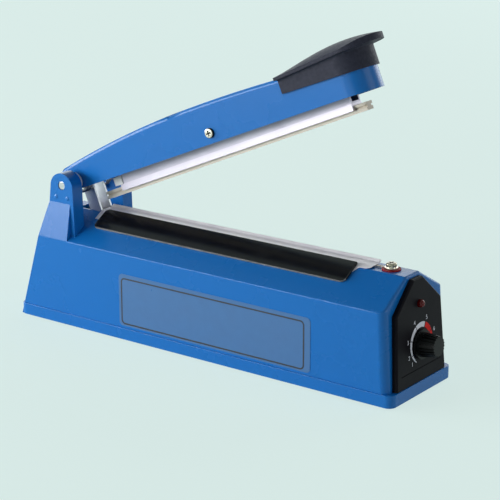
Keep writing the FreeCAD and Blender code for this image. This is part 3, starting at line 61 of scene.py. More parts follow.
NOISE_SPAN = {"From Min": 0.2, "From Max": 0.8}  # the range that Blender's noise texture mostly fills
CLOUD_DETAIL, MARK_DETAIL, GRAIN_DETAIL = 4.0, 3.0, 2.0  # finer layers in the noise of each kind
MIX_FACTOR, MIX_FIRST, MIX_SECOND, MIX_RESULT = 0, 6, 7, 2  # sockets of the Mix node for colours


class Body(Enum):
    """The CAD bodies that pieces ride on."""

    BASE = "base"
    ARM = "arm"


class Side(Enum):
    """The slopes that carry a clamp plate, as the nodes name them."""

    FRONT = "front"
    REAR = "rear"


class Place(Enum):
    """The local frames that pieces are modelled in: origin in millimetres, turn axis and turn in degrees."""

    TABLE = ((0.0, 0.0, 0.0), (1.0, 0.0, 0.0), 0.0)
    SLOPE = ((0.0, -7.7, 76.5), (1.0, 0.0, 0.0), 30.244)
    PANEL = ((148.4, 0.0, 1.5), (0.0, -1.0, 0.0), 3.8)

    def matrix(self) -> Matrix:
        """Works out how this frame lies in the model.

        Returns:
            The matrix from this frame's millimetres to the model's metres.
        """
        origin, axis, angle = self.value
        turn = Matrix.Rotation(math.radians(angle), 4, Vector(axis))
        return Matrix.Scale(MM, 4) @ Matrix.Translation(origin) @ turn


def linear(colour: str) -> tuple[float, float, float, float]:
    """Turns an sRGB hex colour into linear light.

    Args:
        colour: Six hex digits after a hash sign.

    Returns:
        Linear red, green and blue, and an alpha of 1.
    """
    parts = [int(colour[at:at + 2], 16) / 255 for at in (1, 3, 5)]
    light = [part / 12.92 if part <= 0.04045 else ((part + 0.055) / 1.055) ** 2.4 for part in parts]
    return (light[0], light[1], light[2], 1.0)


def add_node(
    tree: bpy.types.NodeTree,
    kind: str,
    settings: dict[str | int, object] | None = None,
    links: dict[str | int, bpy.types.NodeSocket] | None = None,
) -> bpy.types.Node:
    """Adds a shader node with its settings and links.

    Args:
        tree: The node tree that gets the node.
        kind: The node's Blender type.
        settings: Properties by name, and input values by name or number.
        links: Output sockets by the name or number of the input they feed.

    Returns:
        The new node.
    """
    node = tree.nodes.new(kind)
    for key, value in (settings or {}).items():
        if isinstance(key, str) and hasattr(node, key):
            setattr(node, key, value)
        else:
            node.inputs[key].default_value = value
    for key, socket in (links or {}).items():
        tree.links.new(socket, node.inputs[key])
    return node


@dataclass(frozen=True)
class Grain:
    """Fine relief that a mould, a mill or a coating leaves.

    Attributes:
        size: Width of one bump in millimetres.
        depth: Height of one bump in millimetres.
    """

    size: float
    depth: float


@dataclass(frozen=True)
class Streaks:
    """Marks drawn out along one direction, such as brushing or extrusion lines.

    Attributes:
        size: Size of one mark along X, Y and Z in millimetres, before the turn.
        turn: Turn of the marks about Y in degrees.
        depth: Relief of the marks in millimetres.
        tone: Share of the shade colour in the darkest mark.
    """

    size: tuple[float, float, float]
    turn: float = 0.0
    depth: float = 0.004
    tone: float = 0.5


@dataclass(frozen=True)
class Weave:
    """A plain weave seen from above.

    Attributes:
        spacing: Distance between threads in millimetres.
        depth: Relief of the threads in millimetres.
    """

    spacing: float
    depth: float


@dataclass(frozen=True)
class RecessShade:
    """Painted shade that darkens the recess of a screw head and the foot of its rim, where shadow falls.

    Attributes:
        axis: The axis that the head looks along: X, Y or Z.
        clean: Place on that axis in millimetres where the painted shade begins.
        dark: Place from which it covers everything.
        colour: Colour of the painted shade, sRGB hex.
    """

    axis: str
    clean: float
    dark: float
    colour: str


@dataclass(frozen=True)
class Finish:
    """One material and how its surface was made.

    Attributes:
        name: The material's name.
        colour: Main colour, sRGB hex.
        shade: Colour of its darker patches or wear, sRGB hex.
        roughness: Middle roughness.
        swing: How far the roughness varies either way.
        patch: Size of the slow variation in millimetres.
        metallic: 1 for bare metal.
        ior: Index of refraction, for what isn't metal.
        shine: Level of the mirror part of the light, 0.5 for a clean surface.
        coat: Weight of a clear gloss layer.
        clear: Share of light that passes through.
        grain: Fine relief, if any.
        streaks: Directed marks, if any.
        weave: Threads, if any.
        recess_shade: Painted shade in hollows, if any.
    """

    name: str
    colour: str
    shade: str
    roughness: float
    swing: float = 0.05
    patch: float = 30.0
    metallic: float = 0.0
    ior: float = 1.5
    shine: float = 0.5
    coat: float = 0.0
    clear: float = 0.0
    grain: Grain | None = None
    streaks: Streaks | None = None
    weave: Weave | None = None
    recess_shade: RecessShade | None = None

    def material(self) -> bpy.types.Material:
        """The Blender material of this finish, made at its first use."""
        return bpy.data.materials.get(self.name) or self.build()

    def build(self) -> bpy.types.Material:
        """Makes the material from procedural nodes on object coordinates.

        Returns:
            The new material.
        """
        material = bpy.data.materials.new(self.name)
        material.use_nodes = True
        tree = material.node_tree
        tree.nodes.clear()
        place = add_node(tree, "ShaderNodeTexCoord").outputs["Object"]
        slow = {"Scale": 1 / (self.patch * MM), "Detail": CLOUD_DETAIL}
        cloud = add_node(tree, "ShaderNodeTexNoise", slow, {"Vector": place}).outputs["Fac"]
        factor = add_node(tree, "ShaderNodeMapRange", NOISE_SPAN, {"Value": cloud}).outputs["Result"]
        reliefs = []
        if self.streaks:
            marks = self.directed_marks(tree, place)
            reliefs.append((marks, self.streaks.depth))
            factor = add_node(tree, "ShaderNodeMath", {"operation": "MULTIPLY_ADD", 1: self.streaks.tone},
                              {0: marks, 2: factor}).outputs["Value"]
        if self.weave:
            threads = self.crossed_threads(tree, place)
            reliefs.append((threads, self.weave.depth))
        if self.grain:
            fine = {"Scale": 1 / (self.grain.size * MM), "Detail": GRAIN_DETAIL}
            bumps = add_node(tree, "ShaderNodeTexNoise", fine, {"Vector": place}).outputs["Fac"]
            reliefs.append((bumps, self.grain.depth))
        tones = {"data_type": "RGBA", MIX_FIRST: linear(self.colour), MIX_SECOND: linear(self.shade)}
        colour = add_node(tree, "ShaderNodeMix", tones, {MIX_FACTOR: factor}).outputs[MIX_RESULT]
        if self.recess_shade:
            colour = self.with_recess_shade(tree, place, colour)
        swings = NOISE_SPAN | {"To Min": self.roughness - self.swing, "To Max": self.roughness + self.swing}
        rough = add_node(tree, "ShaderNodeMapRange", swings, {"Value": cloud}).outputs["Result"]
        links = {"Base Color": colour, "Roughness": rough}
        for height, depth in reliefs:
            below = {"Normal": links["Normal"]} if "Normal" in links else {}
            links["Normal"] = add_node(tree, "ShaderNodeBump", {"Strength": 1.0, "Distance": depth * MM},
                                       {"Height": height, **below}).outputs["Normal"]
        settings = {"Metallic": self.metallic, "Coat Weight": self.coat, "Transmission Weight": self.clear}
        if not self.metallic:
            settings |= {"IOR": self.ior, "Specular IOR Level": self.shine}
        shader = add_node(tree, "ShaderNodeBsdfPrincipled", settings, links)
        add_node(tree, "ShaderNodeOutputMaterial", links={"Surface": shader.outputs["BSDF"]})
        return material

    def directed_marks(self, tree: bpy.types.NodeTree, place: bpy.types.NodeSocket) -> bpy.types.NodeSocket:
        """Adds noise that is stretched along the streaks.

        Args:
            tree: The material's node tree.
            place: The object coordinates.

        Returns:
            The socket that holds the marks' height.
        """
        scale = tuple(1 / (size * MM) for size in self.streaks.size)
        turn = (0.0, math.radians(self.streaks.turn), 0.0)
        turned = add_node(tree, "ShaderNodeMapping", {"Rotation": turn}, {"Vector": place})
        drawn = add_node(tree, "ShaderNodeMapping", {"Scale": scale}, {"Vector": turned.outputs["Vector"]})
        return add_node(tree, "ShaderNodeTexNoise", {"Scale": 1.0, "Detail": MARK_DETAIL},
                        {"Vector": drawn.outputs["Vector"]}).outputs["Fac"]

    def with_recess_shade(
        self, tree: bpy.types.NodeTree, place: bpy.types.NodeSocket, colour: bpy.types.NodeSocket
    ) -> bpy.types.NodeSocket:
        """Adds the painted shade to the unshaded colour.

        Args:
            tree: The material's node tree.
            place: The object coordinates.
            colour: The unshaded colour.

        Returns:
            The socket that holds the colour with its painted shade.
        """
        along = add_node(tree, "ShaderNodeSeparateXYZ", links={"Vector": place}).outputs[self.recess_shade.axis]
        reach = {"From Min": self.recess_shade.clean * MM, "From Max": self.recess_shade.dark * MM}
        depth = add_node(tree, "ShaderNodeMapRange", reach, {"Value": along}).outputs["Result"]
        # Painted shade: a near-black brown towards the arm, standing in for the shadow in the recess and
        # under the head.
        shade_tones = {"data_type": "RGBA", MIX_SECOND: linear(self.recess_shade.colour)}
        return add_node(tree, "ShaderNodeMix", shade_tones,
                        {MIX_FACTOR: depth, MIX_FIRST: colour}).outputs[MIX_RESULT]

    def crossed_threads(self, tree: bpy.types.NodeTree, place: bpy.types.NodeSocket) -> bpy.types.NodeSocket:
        """Adds two crossing sets of threads.

        Args:
            tree: The material's node tree.
            place: The object coordinates.

        Returns:
            The socket that holds the threads' height.
        """
        scale = WAVE_PERIOD / (self.weave.spacing * MM)
        warp, weft = [add_node(tree, "ShaderNodeTexWave", {"bands_direction": way, "Scale": scale},
                               {"Vector": place}).outputs["Fac"] for way in ("X", "Y")]
        return add_node(tree, "ShaderNodeMath", {"operation": "MAXIMUM"}, {0: warp, 1: weft}).outputs["Value"]


# Glossy injection-moulded ABS: an even blue with soft reflections, which wander a little over broad sinks.
BLUE_ABS = Finish("abs_blue_moulded", "#106EBE", "#0F6CBB", 0.27, 0.02, patch=30.0, ior=1.54, shine=0.25,
                  grain=Grain(40.0, 0.02))
# Spark-eroded ABS: a matt near-black that breaks its highlights into a fine even grain.
PANEL_ABS = Finish("abs_black_fine_grain", "#110F15", "#0E0C12", 0.48, patch=25.0, ior=1.54, shine=0.06,
                   grain=Grain(0.45, 0.02))
# The same with a coarser erosion on the handle: matt and faintly speckled. Such a grain is usually under
# 1 mm, too fine to show, so it is drawn at 1.4 mm, with specks of 2 mm.
HANDLE_ABS = Finish("abs_black_coarse_grain", "#393B49", "#2C2E3A", 0.55, 0.06, patch=2.0, ior=1.54,
                    shine=0.1, grain=Grain(1.4, 0.16))
# Polished ABS: near black, with clear highlights along the flutes.
KNOB_ABS = Finish("abs_black_polished", "#09090B", "#060608", 0.3, patch=8.0, ior=1.54, shine=0.12,
                  grain=Grain(0.6, 0.004))
# Stoved enamel on steel: a deep black with a smooth gloss.
BLACK_ENAMEL = Finish("enamel_black_on_steel", "#0A0A0D", "#0E0E12", 0.2, 0.04, patch=18.0, ior=1.52,
                      shine=0.28, grain=Grain(1.6, 0.004))
# The lower edge of the enamelled plate in light grey metal: partly the sheared steel showing through, partly
# a painted highlight where the edge catches the light.
LOWER_EDGE_BARE_AND_LIT = Finish("steel_edge_bare_and_painted_highlight", "#B4ADA2", "#6F6A63", 0.38, patch=6.0, metallic=0.7,
                   grain=Grain(0.5, 0.01))
# Extruded aluminium: bright, with fine die lines along the bar.
BAR_ALUMINIUM = Finish("aluminium_extruded", "#C9C3CD", "#BAB4C0", 0.42, patch=40.0, metallic=1.0,
                       streaks=Streaks((60.0, 0.35, 0.35), 23.33, 0.003, 0.3))
# Zinc-plated sheet: a lavender grey, darker than the bar, barely cloudy, with faint rolling marks.
ZINC_SHEET = Finish("steel_zinc_plated", "#B5B1BD", "#A6A2AF", 0.46, 0.06, patch=18.0, metallic=1.0,
                    streaks=Streaks((25.0, 1.2, 1.2), 23.33, 0.003, 0.2))
# Brushed steel: bright lines along the tongue.
BRUSHED_STEEL = Finish("steel_brushed", "#DCDDE1", "#B9BBC2", 0.34, 0.06, patch=14.0, metallic=1.0,
                       streaks=Streaks((0.5, 0.5, 30.0), 23.33, 0.004, 0.3))
# Drawn spring wire: grey, with lines along the wire too fine to show, drawn as a cloudy tone.
SPRING_WIRE = Finish("steel_spring_wire", "#A6A8AD", "#75777C", 0.33, patch=3.0, metallic=1.0,
                     grain=Grain(0.4, 0.004))
# Nickel plating on turned steel: a warm, clear mirror.
NICKEL = Finish("steel_nickel_plated", "#E3DDD0", "#C9C1B2", 0.2, 0.06, patch=2.5, metallic=1.0,
                grain=Grain(0.5, 0.003))
# The same on the arm's screw, with painted shade in its cross and round the foot of its head.
CROSS_SCREW = Finish("steel_nickel_plated_cross_painted_shade", "#E3DDD0", "#C9C1B2", 0.26, 0.06, patch=2.5,
                     metallic=1.0, grain=Grain(0.5, 0.003), recess_shade=RecessShade("Y", -17.3, -17.0, "#17120E"))
# Turned steel at the terminal, clouded with brown by heat.
TERMINAL_STEEL = Finish("steel_turned_heat_browned", "#B3AB9A", "#453E33", 0.2, 0.06, patch=1.4,
                        metallic=1.0, grain=Grain(0.5, 0.01))
# Ground hinge pin: polished to a bright mirror.
PIN_STEEL = Finish("steel_ground_pin", "#EDEDEE", "#C8CACC", 0.16, patch=3.0, metallic=1.0,
                   grain=Grain(0.5, 0.002))
# Extruded silicone rubber: a matt cream with a faint dusty bloom.
SILICONE = Finish("silicone_cream_extruded", "#EBE2D3", "#DCD1C0", 0.6, 0.08, patch=9.0, ior=1.43,
                  grain=Grain(0.5, 0.01))
# Moulded nylon: a milky white with a soft gloss.
NYLON = Finish("nylon_white_moulded", "#FAFAF8", "#EFEFEB", 0.38, patch=7.0, ior=1.53,
               grain=Grain(0.8, 0.006))
# Glass cloth coated with PTFE: nearly white, with a waxy sheen. Its threads are usually about 0.4 mm apart,
# too fine to show, so they are drawn at 0.8 mm.
PTFE_CLOTH = Finish("ptfe_coated_glass_cloth", "#FAF8FC", "#EAE7EF", 0.34, 0.06, patch=16.0, ior=1.38,
                    shine=1.0, weave=Weave(0.8, 0.015))
# Pressed mica board: a dull amber with layers.
MICA_BOARD = Finish("mica_board_pressed", "#A68C5E", "#7F6A45", 0.5, patch=5.0, ior=1.58,
                    grain=Grain(0.6, 0.02))
# Rolled nickel-chrome ribbon, browned by heat.
HEATING_RIBBON = Finish("nickel_chrome_ribbon_heat_browned", "#8E8479", "#5F564F", 0.36, 0.08, patch=6.0,
                        metallic=1.0, streaks=Streaks((20.0, 0.3, 0.3), 0.0, 0.002, 0.4))
# Sawn brass block: warm yellow with saw lines.
BRASS = Finish("brass_sawn", "#C9A65A", "#9A7C3C", 0.34, patch=4.0, metallic=1.0,
               streaks=Streaks((0.4, 6.0, 0.4), 0.0, 0.008, 0.4))
# Vulcanised fibre: a matt red with paper fibres.
RED_FIBRE = Finish("vulcanised_fibre_red", "#A0161F", "#760D16", 0.55, patch=2.5, ior=1.5, shine=0.15,
                   grain=Grain(0.35, 0.015))
# Cast acrylic lens: a deep red, barely clear, with a small wet highlight.
LAMP_ACRYLIC = Finish("acrylic_red_lens", "#7A0A10", "#560609", 0.12, 0.03, patch=2.5, ior=1.49, shine=0.15,
                      coat=0.05, clear=0.08, grain=Grain(1.2, 0.003))
# Galvanised bottom plate: a grey with broad cloudy spangle.
GALVANISED = Finish("steel_galvanised", "#B7BABE", "#8E9196", 0.42, 0.1, patch=11.0, metallic=1.0,
                    grain=Grain(1.5, 0.006))
# Black rubber: matt, with a grey bloom.
RUBBER = Finish("rubber_black_moulded", "#1B1B1D", "#28282A", 0.72, 0.08, patch=6.0, ior=1.52,
                grain=Grain(0.5, 0.02))
# Stacked transformer steel: dark plates 0.5 mm thick, seen as fine lines.
CORE_STEEL = Finish("steel_core_stacked", "#6A6B6E", "#38393B", 0.45, 0.08, patch=10.0, metallic=1.0,
                    streaks=Streaks((40.0, 0.5, 40.0), 0.0, 0.03, 0.9))
# Enamelled copper winding: glossy red-brown turns of 0.6 mm wire.
COPPER_WINDING = Finish("copper_enamelled_winding", "#B0642E", "#6E3413", 0.3, patch=8.0, metallic=0.8,
                        streaks=Streaks((30.0, 30.0, 0.6), 0.0, 0.06, 0.9))
# Paper-phenolic board: a flat brown.
BOARD = Finish("phenolic_paper_board", "#A87B3F", "#8E642F", 0.45, patch=7.0, ior=1.6,
               grain=Grain(0.7, 0.008))
# Thermoset case: a plain dark grey moulding.
DARK_CASE = Finish("phenolic_case_dark", "#1D1E22", "#16171A", 0.4, patch=5.0, ior=1.6,
                   grain=Grain(0.5, 0.01))
# Moulded nylon button in red.
RED_BUTTON = Finish("nylon_red_moulded", "#B3201C", "#8F1814", 0.35, patch=1.5, ior=1.53,
                    grain=Grain(0.4, 0.004))
# Clear polyester film stuck on the blue: a paler blue with a slight ripple where the glue holds.
LABEL_FILM = Finish("polyester_film_on_blue", "#386EA6", "#30669E", 0.32, 0.06, patch=9.0, ior=1.64,
                    grain=Grain(6.0, 0.012))
# Screen-printing inks: flat, slightly raised and satin.
INK_WHITE = Finish("ink_white_screen_print", "#ECEDF7", "#E0E1EE", 0.5, patch=2.0, grain=Grain(0.3, 0.004))
INK_RED = Finish("ink_red_screen_print", "#EA1A17", "#D01412", 0.5, patch=2.0, shine=0.12,
                 grain=Grain(0.3, 0.004))
INK_DARK = Finish("ink_dark_screen_print", "#12161C", "#1C222A", 0.45, patch=3.0, grain=Grain(0.3, 0.004))

NODE_FINISHES: dict[Finish, tuple[str, ...]] = {
    BLUE_ABS: ("housing", "arm_shell"),
    PANEL_ABS: ("control_panel",),
    HANDLE_ABS: ("handle_cap",),
    KNOB_ABS: ("timer_knob",),
    BLACK_ENAMEL: ("front_clamp_plate", "rear_clamp_plate"),
    BAR_ALUMINIUM: ("pressure_bar",),
    ZINC_SHEET: ("bar_carrier", "transformer_strap", "potentiometer"),
    BRUSHED_STEEL: ("switch_tongue",),
    SPRING_WIRE: ("lift_springs",),
    NICKEL: ("bottom_screws", "clamp_nuts", "terminal_washers", "terminal_nut", "pot_nut", "strap_screws",
             "switch_screws", "cap_screws", "tongue_screw", "rock_nut", "pot_shaft"),
    CROSS_SCREW: ("rock_screw",),
    TERMINAL_STEEL: ("terminal_screw",),
    PIN_STEEL: ("hinge_pin",),
    SILICONE: ("silicone_strip",),
    NYLON: ("bar_clip", "rock_spacers", "hinge_washers"),
    PTFE_CLOTH: ("ptfe_cover",),
    MICA_BOARD: ("heat_bar",),
    HEATING_RIBBON: ("heating_element",),
    BRASS: ("element_anchor",),
    RED_FIBRE: ("fibre_washers",),
    LAMP_ACRYLIC: ("indicator_lamp",),
    GALVANISED: ("bottom_plate",),
    RUBBER: ("rubber_feet", "cord_grommet"),
    CORE_STEEL: ("transformer_core",),
    COPPER_WINDING: ("transformer_coil",),
    BOARD: ("timer_board",),
    DARK_CASE: ("timer_relay", "timer_capacitor", "micro_switch"),
    RED_BUTTON: ("switch_plunger",),
    LABEL_FILM: ("label_film",),
}


def dress_nodes() -> None:
    """Gives every CAD node the finish of its real material."""
    for finish, names in NODE_FINISHES.items():
        for name in names:
            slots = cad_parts[name].data.materials
            slots.clear()
            slots.append(finish.material())
    bare = set(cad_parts) - {name for names in NODE_FINISHES.values() for name in names}
    LOG.info("dressed %d nodes, left bare: %s", len(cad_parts) - len(bare), sorted(bare))


@dataclass(frozen=True)
class Bend:
    """A stretch over which a piece would pass from its own body to another.

    Attributes:
        body: The body that it passes to; not used.
        start: Point in metres where it begins to turn; not used.
        end: Point in metres from which it follows the other body whole; not used.
    """

    body: Body
    start: tuple[float, float, float]
    end: tuple[float, float, float]


@dataclass(frozen=True)
class Fitting:
    """How a new piece joins the model.

    Attributes:
        name: The piece's name.
        body: The body it rides on, unless it has a bend.
        finishes: Its finishes, in the order of its faces' material numbers.
        slot: The record's material slot, if one fits; not used.
        nodes: The CAD nodes that it stands for.
        crease: Angle in degrees above which an edge stays sharp.
        bend: Where it would pass to another body. Only whether it is given is read: such a piece stays in the
            model's frame and rides on no body.
    """

    name: str
    body: Body
    finishes: tuple[Finish, ...]
    slot: str | None = None
    nodes: tuple[str, ...] = ()
    crease: float = 35.0
    bend: Bend | None = None

    def join(self, form: bmesh.types.BMesh, place: Place) -> bpy.types.Object:
        """Turns a finished form into a piece of the model.

        Args:
            form: The form, in millimetres of its own frame.
            place: That frame.

        Returns:
            The piece, at the origin, with its place in its mesh.
        """
        bmesh.ops.transform(form, matrix=place.matrix(), verts=form.verts)
        bmesh.ops.recalc_face_normals(form, faces=form.faces)
        mesh = bpy.data.meshes.new(self.name)
        form.to_mesh(mesh)
        form.free()
        mesh.shade_smooth()
        mesh.set_sharp_from_angle(angle=math.radians(self.crease))
        for finish in self.finishes:
            mesh.materials.append(finish.material())
        piece = bpy.data.objects.new(self.name, mesh)
        bpy.context.scene.collection.objects.link(piece)
        if self.bend:
            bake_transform(piece)
        else:
            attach(piece, self.body.value)
        if self.nodes:
            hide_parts(*self.nodes)
        LOG.info("%s: %d faces on %s", self.name, len(mesh.polygons), self.body.value)
        return piece


@dataclass
class LiftSprings:
    """The two torsion springs round the hinge pin, each wound from one wire."""

    axis: tuple[float, float, float] = (-115.0, 0.0, 97.5)
    radius: float = 8.2
    wire: float = 1.6
    pitch: float = 2.2
    outer: float = 12.1
    open_angle: float = 23.33
    whole_turns: int = 2
    foot_z: float = 75.54
    toe_length: float = 19.0
    bend_length: float = 9.0
    sides: int = 14
    steps_per_turn: int = 48
    merge: float = 0.0016
    crease: float = 60.0

    def build(self) -> bpy.types.Object:
        """Winds the front spring and mirrors it to the rear.

        Returns:
            The piece that stands for both springs.
        """
        form = bmesh.new()
        quarter_left = 90.0 - self.open_angle
        turned = 360.0 * self.whole_turns + quarter_left
        steps = round(self.steps_per_turn * turned / 360.0)
        start = Vector(self.axis) + Vector((-self.radius, -self.outer, 0.0))
        rise = self.pitch / 360.0
        heading = Vector((0.0, self.pitch, 2 * math.pi * self.radius)).normalized()
        section = bmesh.ops.create_circle(form, radius=self.wire / 2, segments=self.sides)["verts"]
        stand = heading.to_track_quat("Z", "Y").to_matrix().to_4x4()
        foot = start - heading * ((start.z - self.foot_z) / heading.z)
        bmesh.ops.transform(form, matrix=Matrix.Translation(foot) @ stand, verts=section)
        loop = self.draw_out(form, list(form.edges), start - foot)
        verts = list(dict.fromkeys(vert for edge in loop for vert in edge.verts))
        wound = bmesh.ops.spin(form, geom=loop + verts, cent=self.axis, axis=(0.0, 1.0, 0.0),
                               angle=math.radians(turned), steps=steps,
                               dvec=(0.0, rise * turned / steps, 0.0))["geom_last"]
        loop = [item for item in wound if isinstance(item, bmesh.types.BMEdge)]
        end = Matrix.Rotation(math.radians(turned), 3, "Y") @ heading
        self.draw_out(form, loop, end * self.toe_length)
        bmesh.ops.remove_doubles(form, verts=form.verts, dist=self.merge)
        bmesh.ops.holes_fill(form, edges=[edge for edge in form.edges if edge.is_boundary], sides=self.sides)
        bmesh.ops.mirror(form, geom=form.verts[:] + form.edges[:] + form.faces[:], axis="Y", merge_dist=0.0)
        fitting = Fitting("lift_spring_coils", Body.BASE, (SPRING_WIRE,), "plated_steel", ("lift_springs",),
                          crease=self.crease, bend=self.toe_bend())
        return fitting.join(form, Place.TABLE)

    def toe_bend(self) -> Bend:
        """Finds where the wire passes from the base to the arm.

        Returns:
            The stretch from the coils to the toe.
        """
        start = Vector(self.axis) * MM
        lift = math.radians(self.open_angle)
        way = Vector((math.cos(lift), 0.0, math.sin(lift)))
        return Bend(Body.ARM, tuple(start), tuple(start + way * self.bend_length * MM))

    def draw_out(
        self, form: bmesh.types.BMesh, loop: list[bmesh.types.BMEdge], way: Vector
    ) -> list[bmesh.types.BMEdge]:
        """Draws a loop of edges out along a straight line.

        Args:
            form: The spring's form.
            loop: The loop's edges.
            way: The line's length and direction.

        Returns:
            The edges of the loop at the far end.
        """
        drawn = bmesh.ops.extrude_edge_only(form, edges=loop)["geom"]
        ends = [item for item in drawn if isinstance(item, bmesh.types.BMVert)]
        bmesh.ops.translate(form, vec=way, verts=ends)
        return [item for item in drawn
                if isinstance(item, bmesh.types.BMEdge) and all(vert in ends for vert in item.verts)]


@dataclass
class ClothCover:
    """The PTFE cloth stretched over the heating wire and down both slopes, with a narrower tail."""

    start: float = -100.3
    end: float = 117.0
    tail_start: float = 105.5
    tail_run: float = 4.5
    tail_half: float = 8.6
    corner: float = 2.5
    flat_half: float = 4.2
    flat_z: float = 77.65
    crest_half: float = 7.7
    crest_z: float = 76.72
    rear_bulge: float = 2.0
    reach: float = 6.95
    slope_angle: float = 30.244
    thickness: float = 0.16
    long_wave: float = 0.03
    long_rate: float = 0.31
    short_wave: float = 0.02
    short_rate: float = 0.83
    tail_wave: float = 0.5
    tail_rate: float = 0.55
    tail_phase: float = 0.8
    columns: int = 220
    rows: int = 40
    crest_steps: int = 12
    crease: float = 60.0

    def build(self) -> bpy.types.Object:
        """Lays the cloth in its cut.

        Returns:
            The piece that stands for the cover.
        """
        form = bmesh.new()
        verts = bmesh.ops.create_grid(form, x_segments=self.columns, y_segments=self.rows, size=1.0)["verts"]
        length = self.end - self.start
        for vert in verts:
            x = self.start + (vert.co.x + 1) / 2 * length
            vert.co = self.lay(x, vert.co.y * self.half_width(x))
        bmesh.ops.recalc_face_normals(form, faces=form.faces)
        bmesh.ops.solidify(form, geom=form.faces[:], thickness=self.thickness)
        fitting = Fitting("ptfe_cloth_cover", Body.BASE, (PTFE_CLOTH,), "ptfe_cloth", ("ptfe_cover",),
                          crease=self.crease)
        piece = fitting.join(form, Place.TABLE)
        return piece

    def half_width(self, x: float) -> float:
        """Finds half of the cloth's cut width.

        Args:
            x: Place along the cloth in millimetres.

        Returns:
            The half width in millimetres, full under the plates and less at the tail, with round corners.
        """
        full = self.flat_half + self.crest_run(-1.0) + self.reach
        share = min(1.0, max(0.0, (x - self.tail_start) / self.tail_run))
        half = full + (self.tail_half - full) * share * share * (3 - 2 * share)
        into_corner = max(0.0, x - self.end + self.corner)
        return half - self.corner + math.sqrt(max(0.0, self.corner ** 2 - into_corner ** 2))

    def crest_point(self, part: float, side: float) -> Vector:
        """Finds a point of the cloth's section between the flat and the slope.

        Args:
            part: Place from 0 at the flat to 1 at the slope.
            side: -1 at the front, where a plate presses on the cloth, and 1 at the rear, where it stands up.

        Returns:
            The point's distance from the middle and its height in millimetres.
        """
        swell = self.rear_bulge * math.sin(math.pi * part) if side > 0 else 0.0
        flat, crest = Vector((self.flat_half, self.flat_z)), Vector((self.crest_half, self.crest_z))
        return flat.lerp(crest, part) + Vector((0.0, swell))

    def crest_run(self, side: float) -> float:
        """Finds the length of cloth between the flat and the slope.

        Args:
            side: -1 at the front, 1 at the rear.

        Returns:
            The length in millimetres.
        """
        points = [self.crest_point(step / self.crest_steps, side) for step in range(self.crest_steps + 1)]
        return sum((after - before).length for before, after in zip(points, points[1:]))

    def lay(self, x: float, across: float) -> Vector:
        """Finds where a point of the flat cloth comes to lie.

        Args:
            x: Place along the cloth in millimetres.
            across: Distance from the middle of the cloth in millimetres.

        Returns:
            The point in millimetres.
        """
        side = math.copysign(1.0, across)
        rest = abs(across)
        loose = min(1.0, max(0.0, (x - self.tail_start) / (self.end - self.tail_start)))
        ripple = self.long_wave * math.sin(x * self.long_rate)
        ripple += self.short_wave * math.sin(x * self.short_rate + across)
        curl = (across / self.tail_half) ** 2 * (1 + math.sin(across * self.tail_rate + self.tail_phase))
        ripple += loose * self.tail_wave * curl
        if rest <= self.flat_half:
            return Vector((x, across, self.flat_z + ripple))
        rest -= self.flat_half
        run = self.crest_run(side)
        if rest <= run:
            y, z = self.crest_point(rest / run, side)
            return Vector((x, side * y, z + ripple * (1 - rest / run * (1 - loose))))
        rest -= run
        slope = math.radians(self.slope_angle)
        y = self.crest_half + rest * math.cos(slope)
        return Vector((x, side * y, self.crest_z - rest * math.sin(slope) + ripple * loose))


@dataclass
class ClampPlates:
    """The black plates that hold the cloth's edges on the slopes."""

    start: float = -96.0
    end: float = 107.0
    drop: float = 15.0
    lip: float = 2.8
    low: float = 0.3
    thickness: float = 1.4
    corner: float = 3.6
    sharp_corner: float = 0.8
    corner_segments: int = 7
    edge: float = 0.5
    edge_segments: int = 3
    rim_tolerance: float = 0.01
    side_tilt: float = 0.5
    lit_edge_tilt: float = -0.3
    rear_shift: float = 3.4

    def build(self) -> list[bpy.types.Object]:
        """Makes the plates of both slopes.

        Returns:
            Both plates.
        """
        return [self.plate(side) for side in Side]

    def plate(self, side: Side) -> bpy.types.Object:
        """Makes one plate with round corners and a lower edge in light grey metal, partly bare steel and
        partly a painted highlight.

        Args:
            side: The slope that carries it. The rear plate mirrors the front one.

        Returns:
            The plate.
        """
        form = bmesh.new()
        size = Vector((self.end - self.start, self.drop + self.lip, self.thickness))
        middle = Vector((self.start + self.end, self.lip - self.drop, 2 * self.low + self.thickness)) / 2
        block = Matrix.Translation(middle) @ Matrix.Diagonal((*size, 1.0))
        bmesh.ops.create_cube(form, size=1.0, matrix=block)
        half = self.thickness / 2
        upright = [edge for edge in form.edges if abs(edge.verts[0].co.z - edge.verts[1].co.z) > half]
        sharp = [edge for edge in upright if edge.verts[0].co.x > middle.x and edge.verts[0].co.y > middle.y]
        round_ones = [edge for edge in upright if edge not in sharp]
        for edges, radius in ((round_ones, self.corner), (sharp, self.sharp_corner)):
            bmesh.ops.bevel(form, geom=edges, offset=radius, segments=self.corner_segments, profile=0.5,
                            affect="EDGES", material=-1)
        top = self.low + self.thickness - self.rim_tolerance
        rim = [edge for edge in form.edges if all(vert.co.z > top for vert in edge.verts)]
        bmesh.ops.bevel(form, geom=rim, offset=self.edge, segments=self.edge_segments, profile=0.5,
                        affect="EDGES", material=-1)
        # Painted highlight: the faces of the lower edge get the light grey metal, partly bare steel and
        # partly the light line that the edge catches.
        for face in form.faces:
            bare_and_lit = abs(face.normal.z) < self.side_tilt and face.normal.y < self.lit_edge_tilt
            face.material_index = 1 if bare_and_lit else 0
        if side is Side.REAR:
            bmesh.ops.transform(form, matrix=self.to_rear(), verts=form.verts)
        fitting = Fitting(f"{side.value}_clamp_bar", Body.BASE, (BLACK_ENAMEL, LOWER_EDGE_BARE_AND_LIT), "black_plate",
                          (f"{side.value}_clamp_plate",))
        return fitting.join(form, Place.SLOPE)

    def to_rear(self) -> Matrix:
        """Works out how the rear plate mirrors the front one, a little lower on its slope.

        Returns:
            The matrix from the front plate to the rear one, both in the front slope's frame.
        """
        slope = Place.SLOPE.matrix()
        lower = Matrix.Translation((0.0, -self.rear_shift, 0.0))
        return slope.inverted() @ Matrix.Diagonal((1.0, -1.0, 1.0, 1.0)) @ slope @ lower


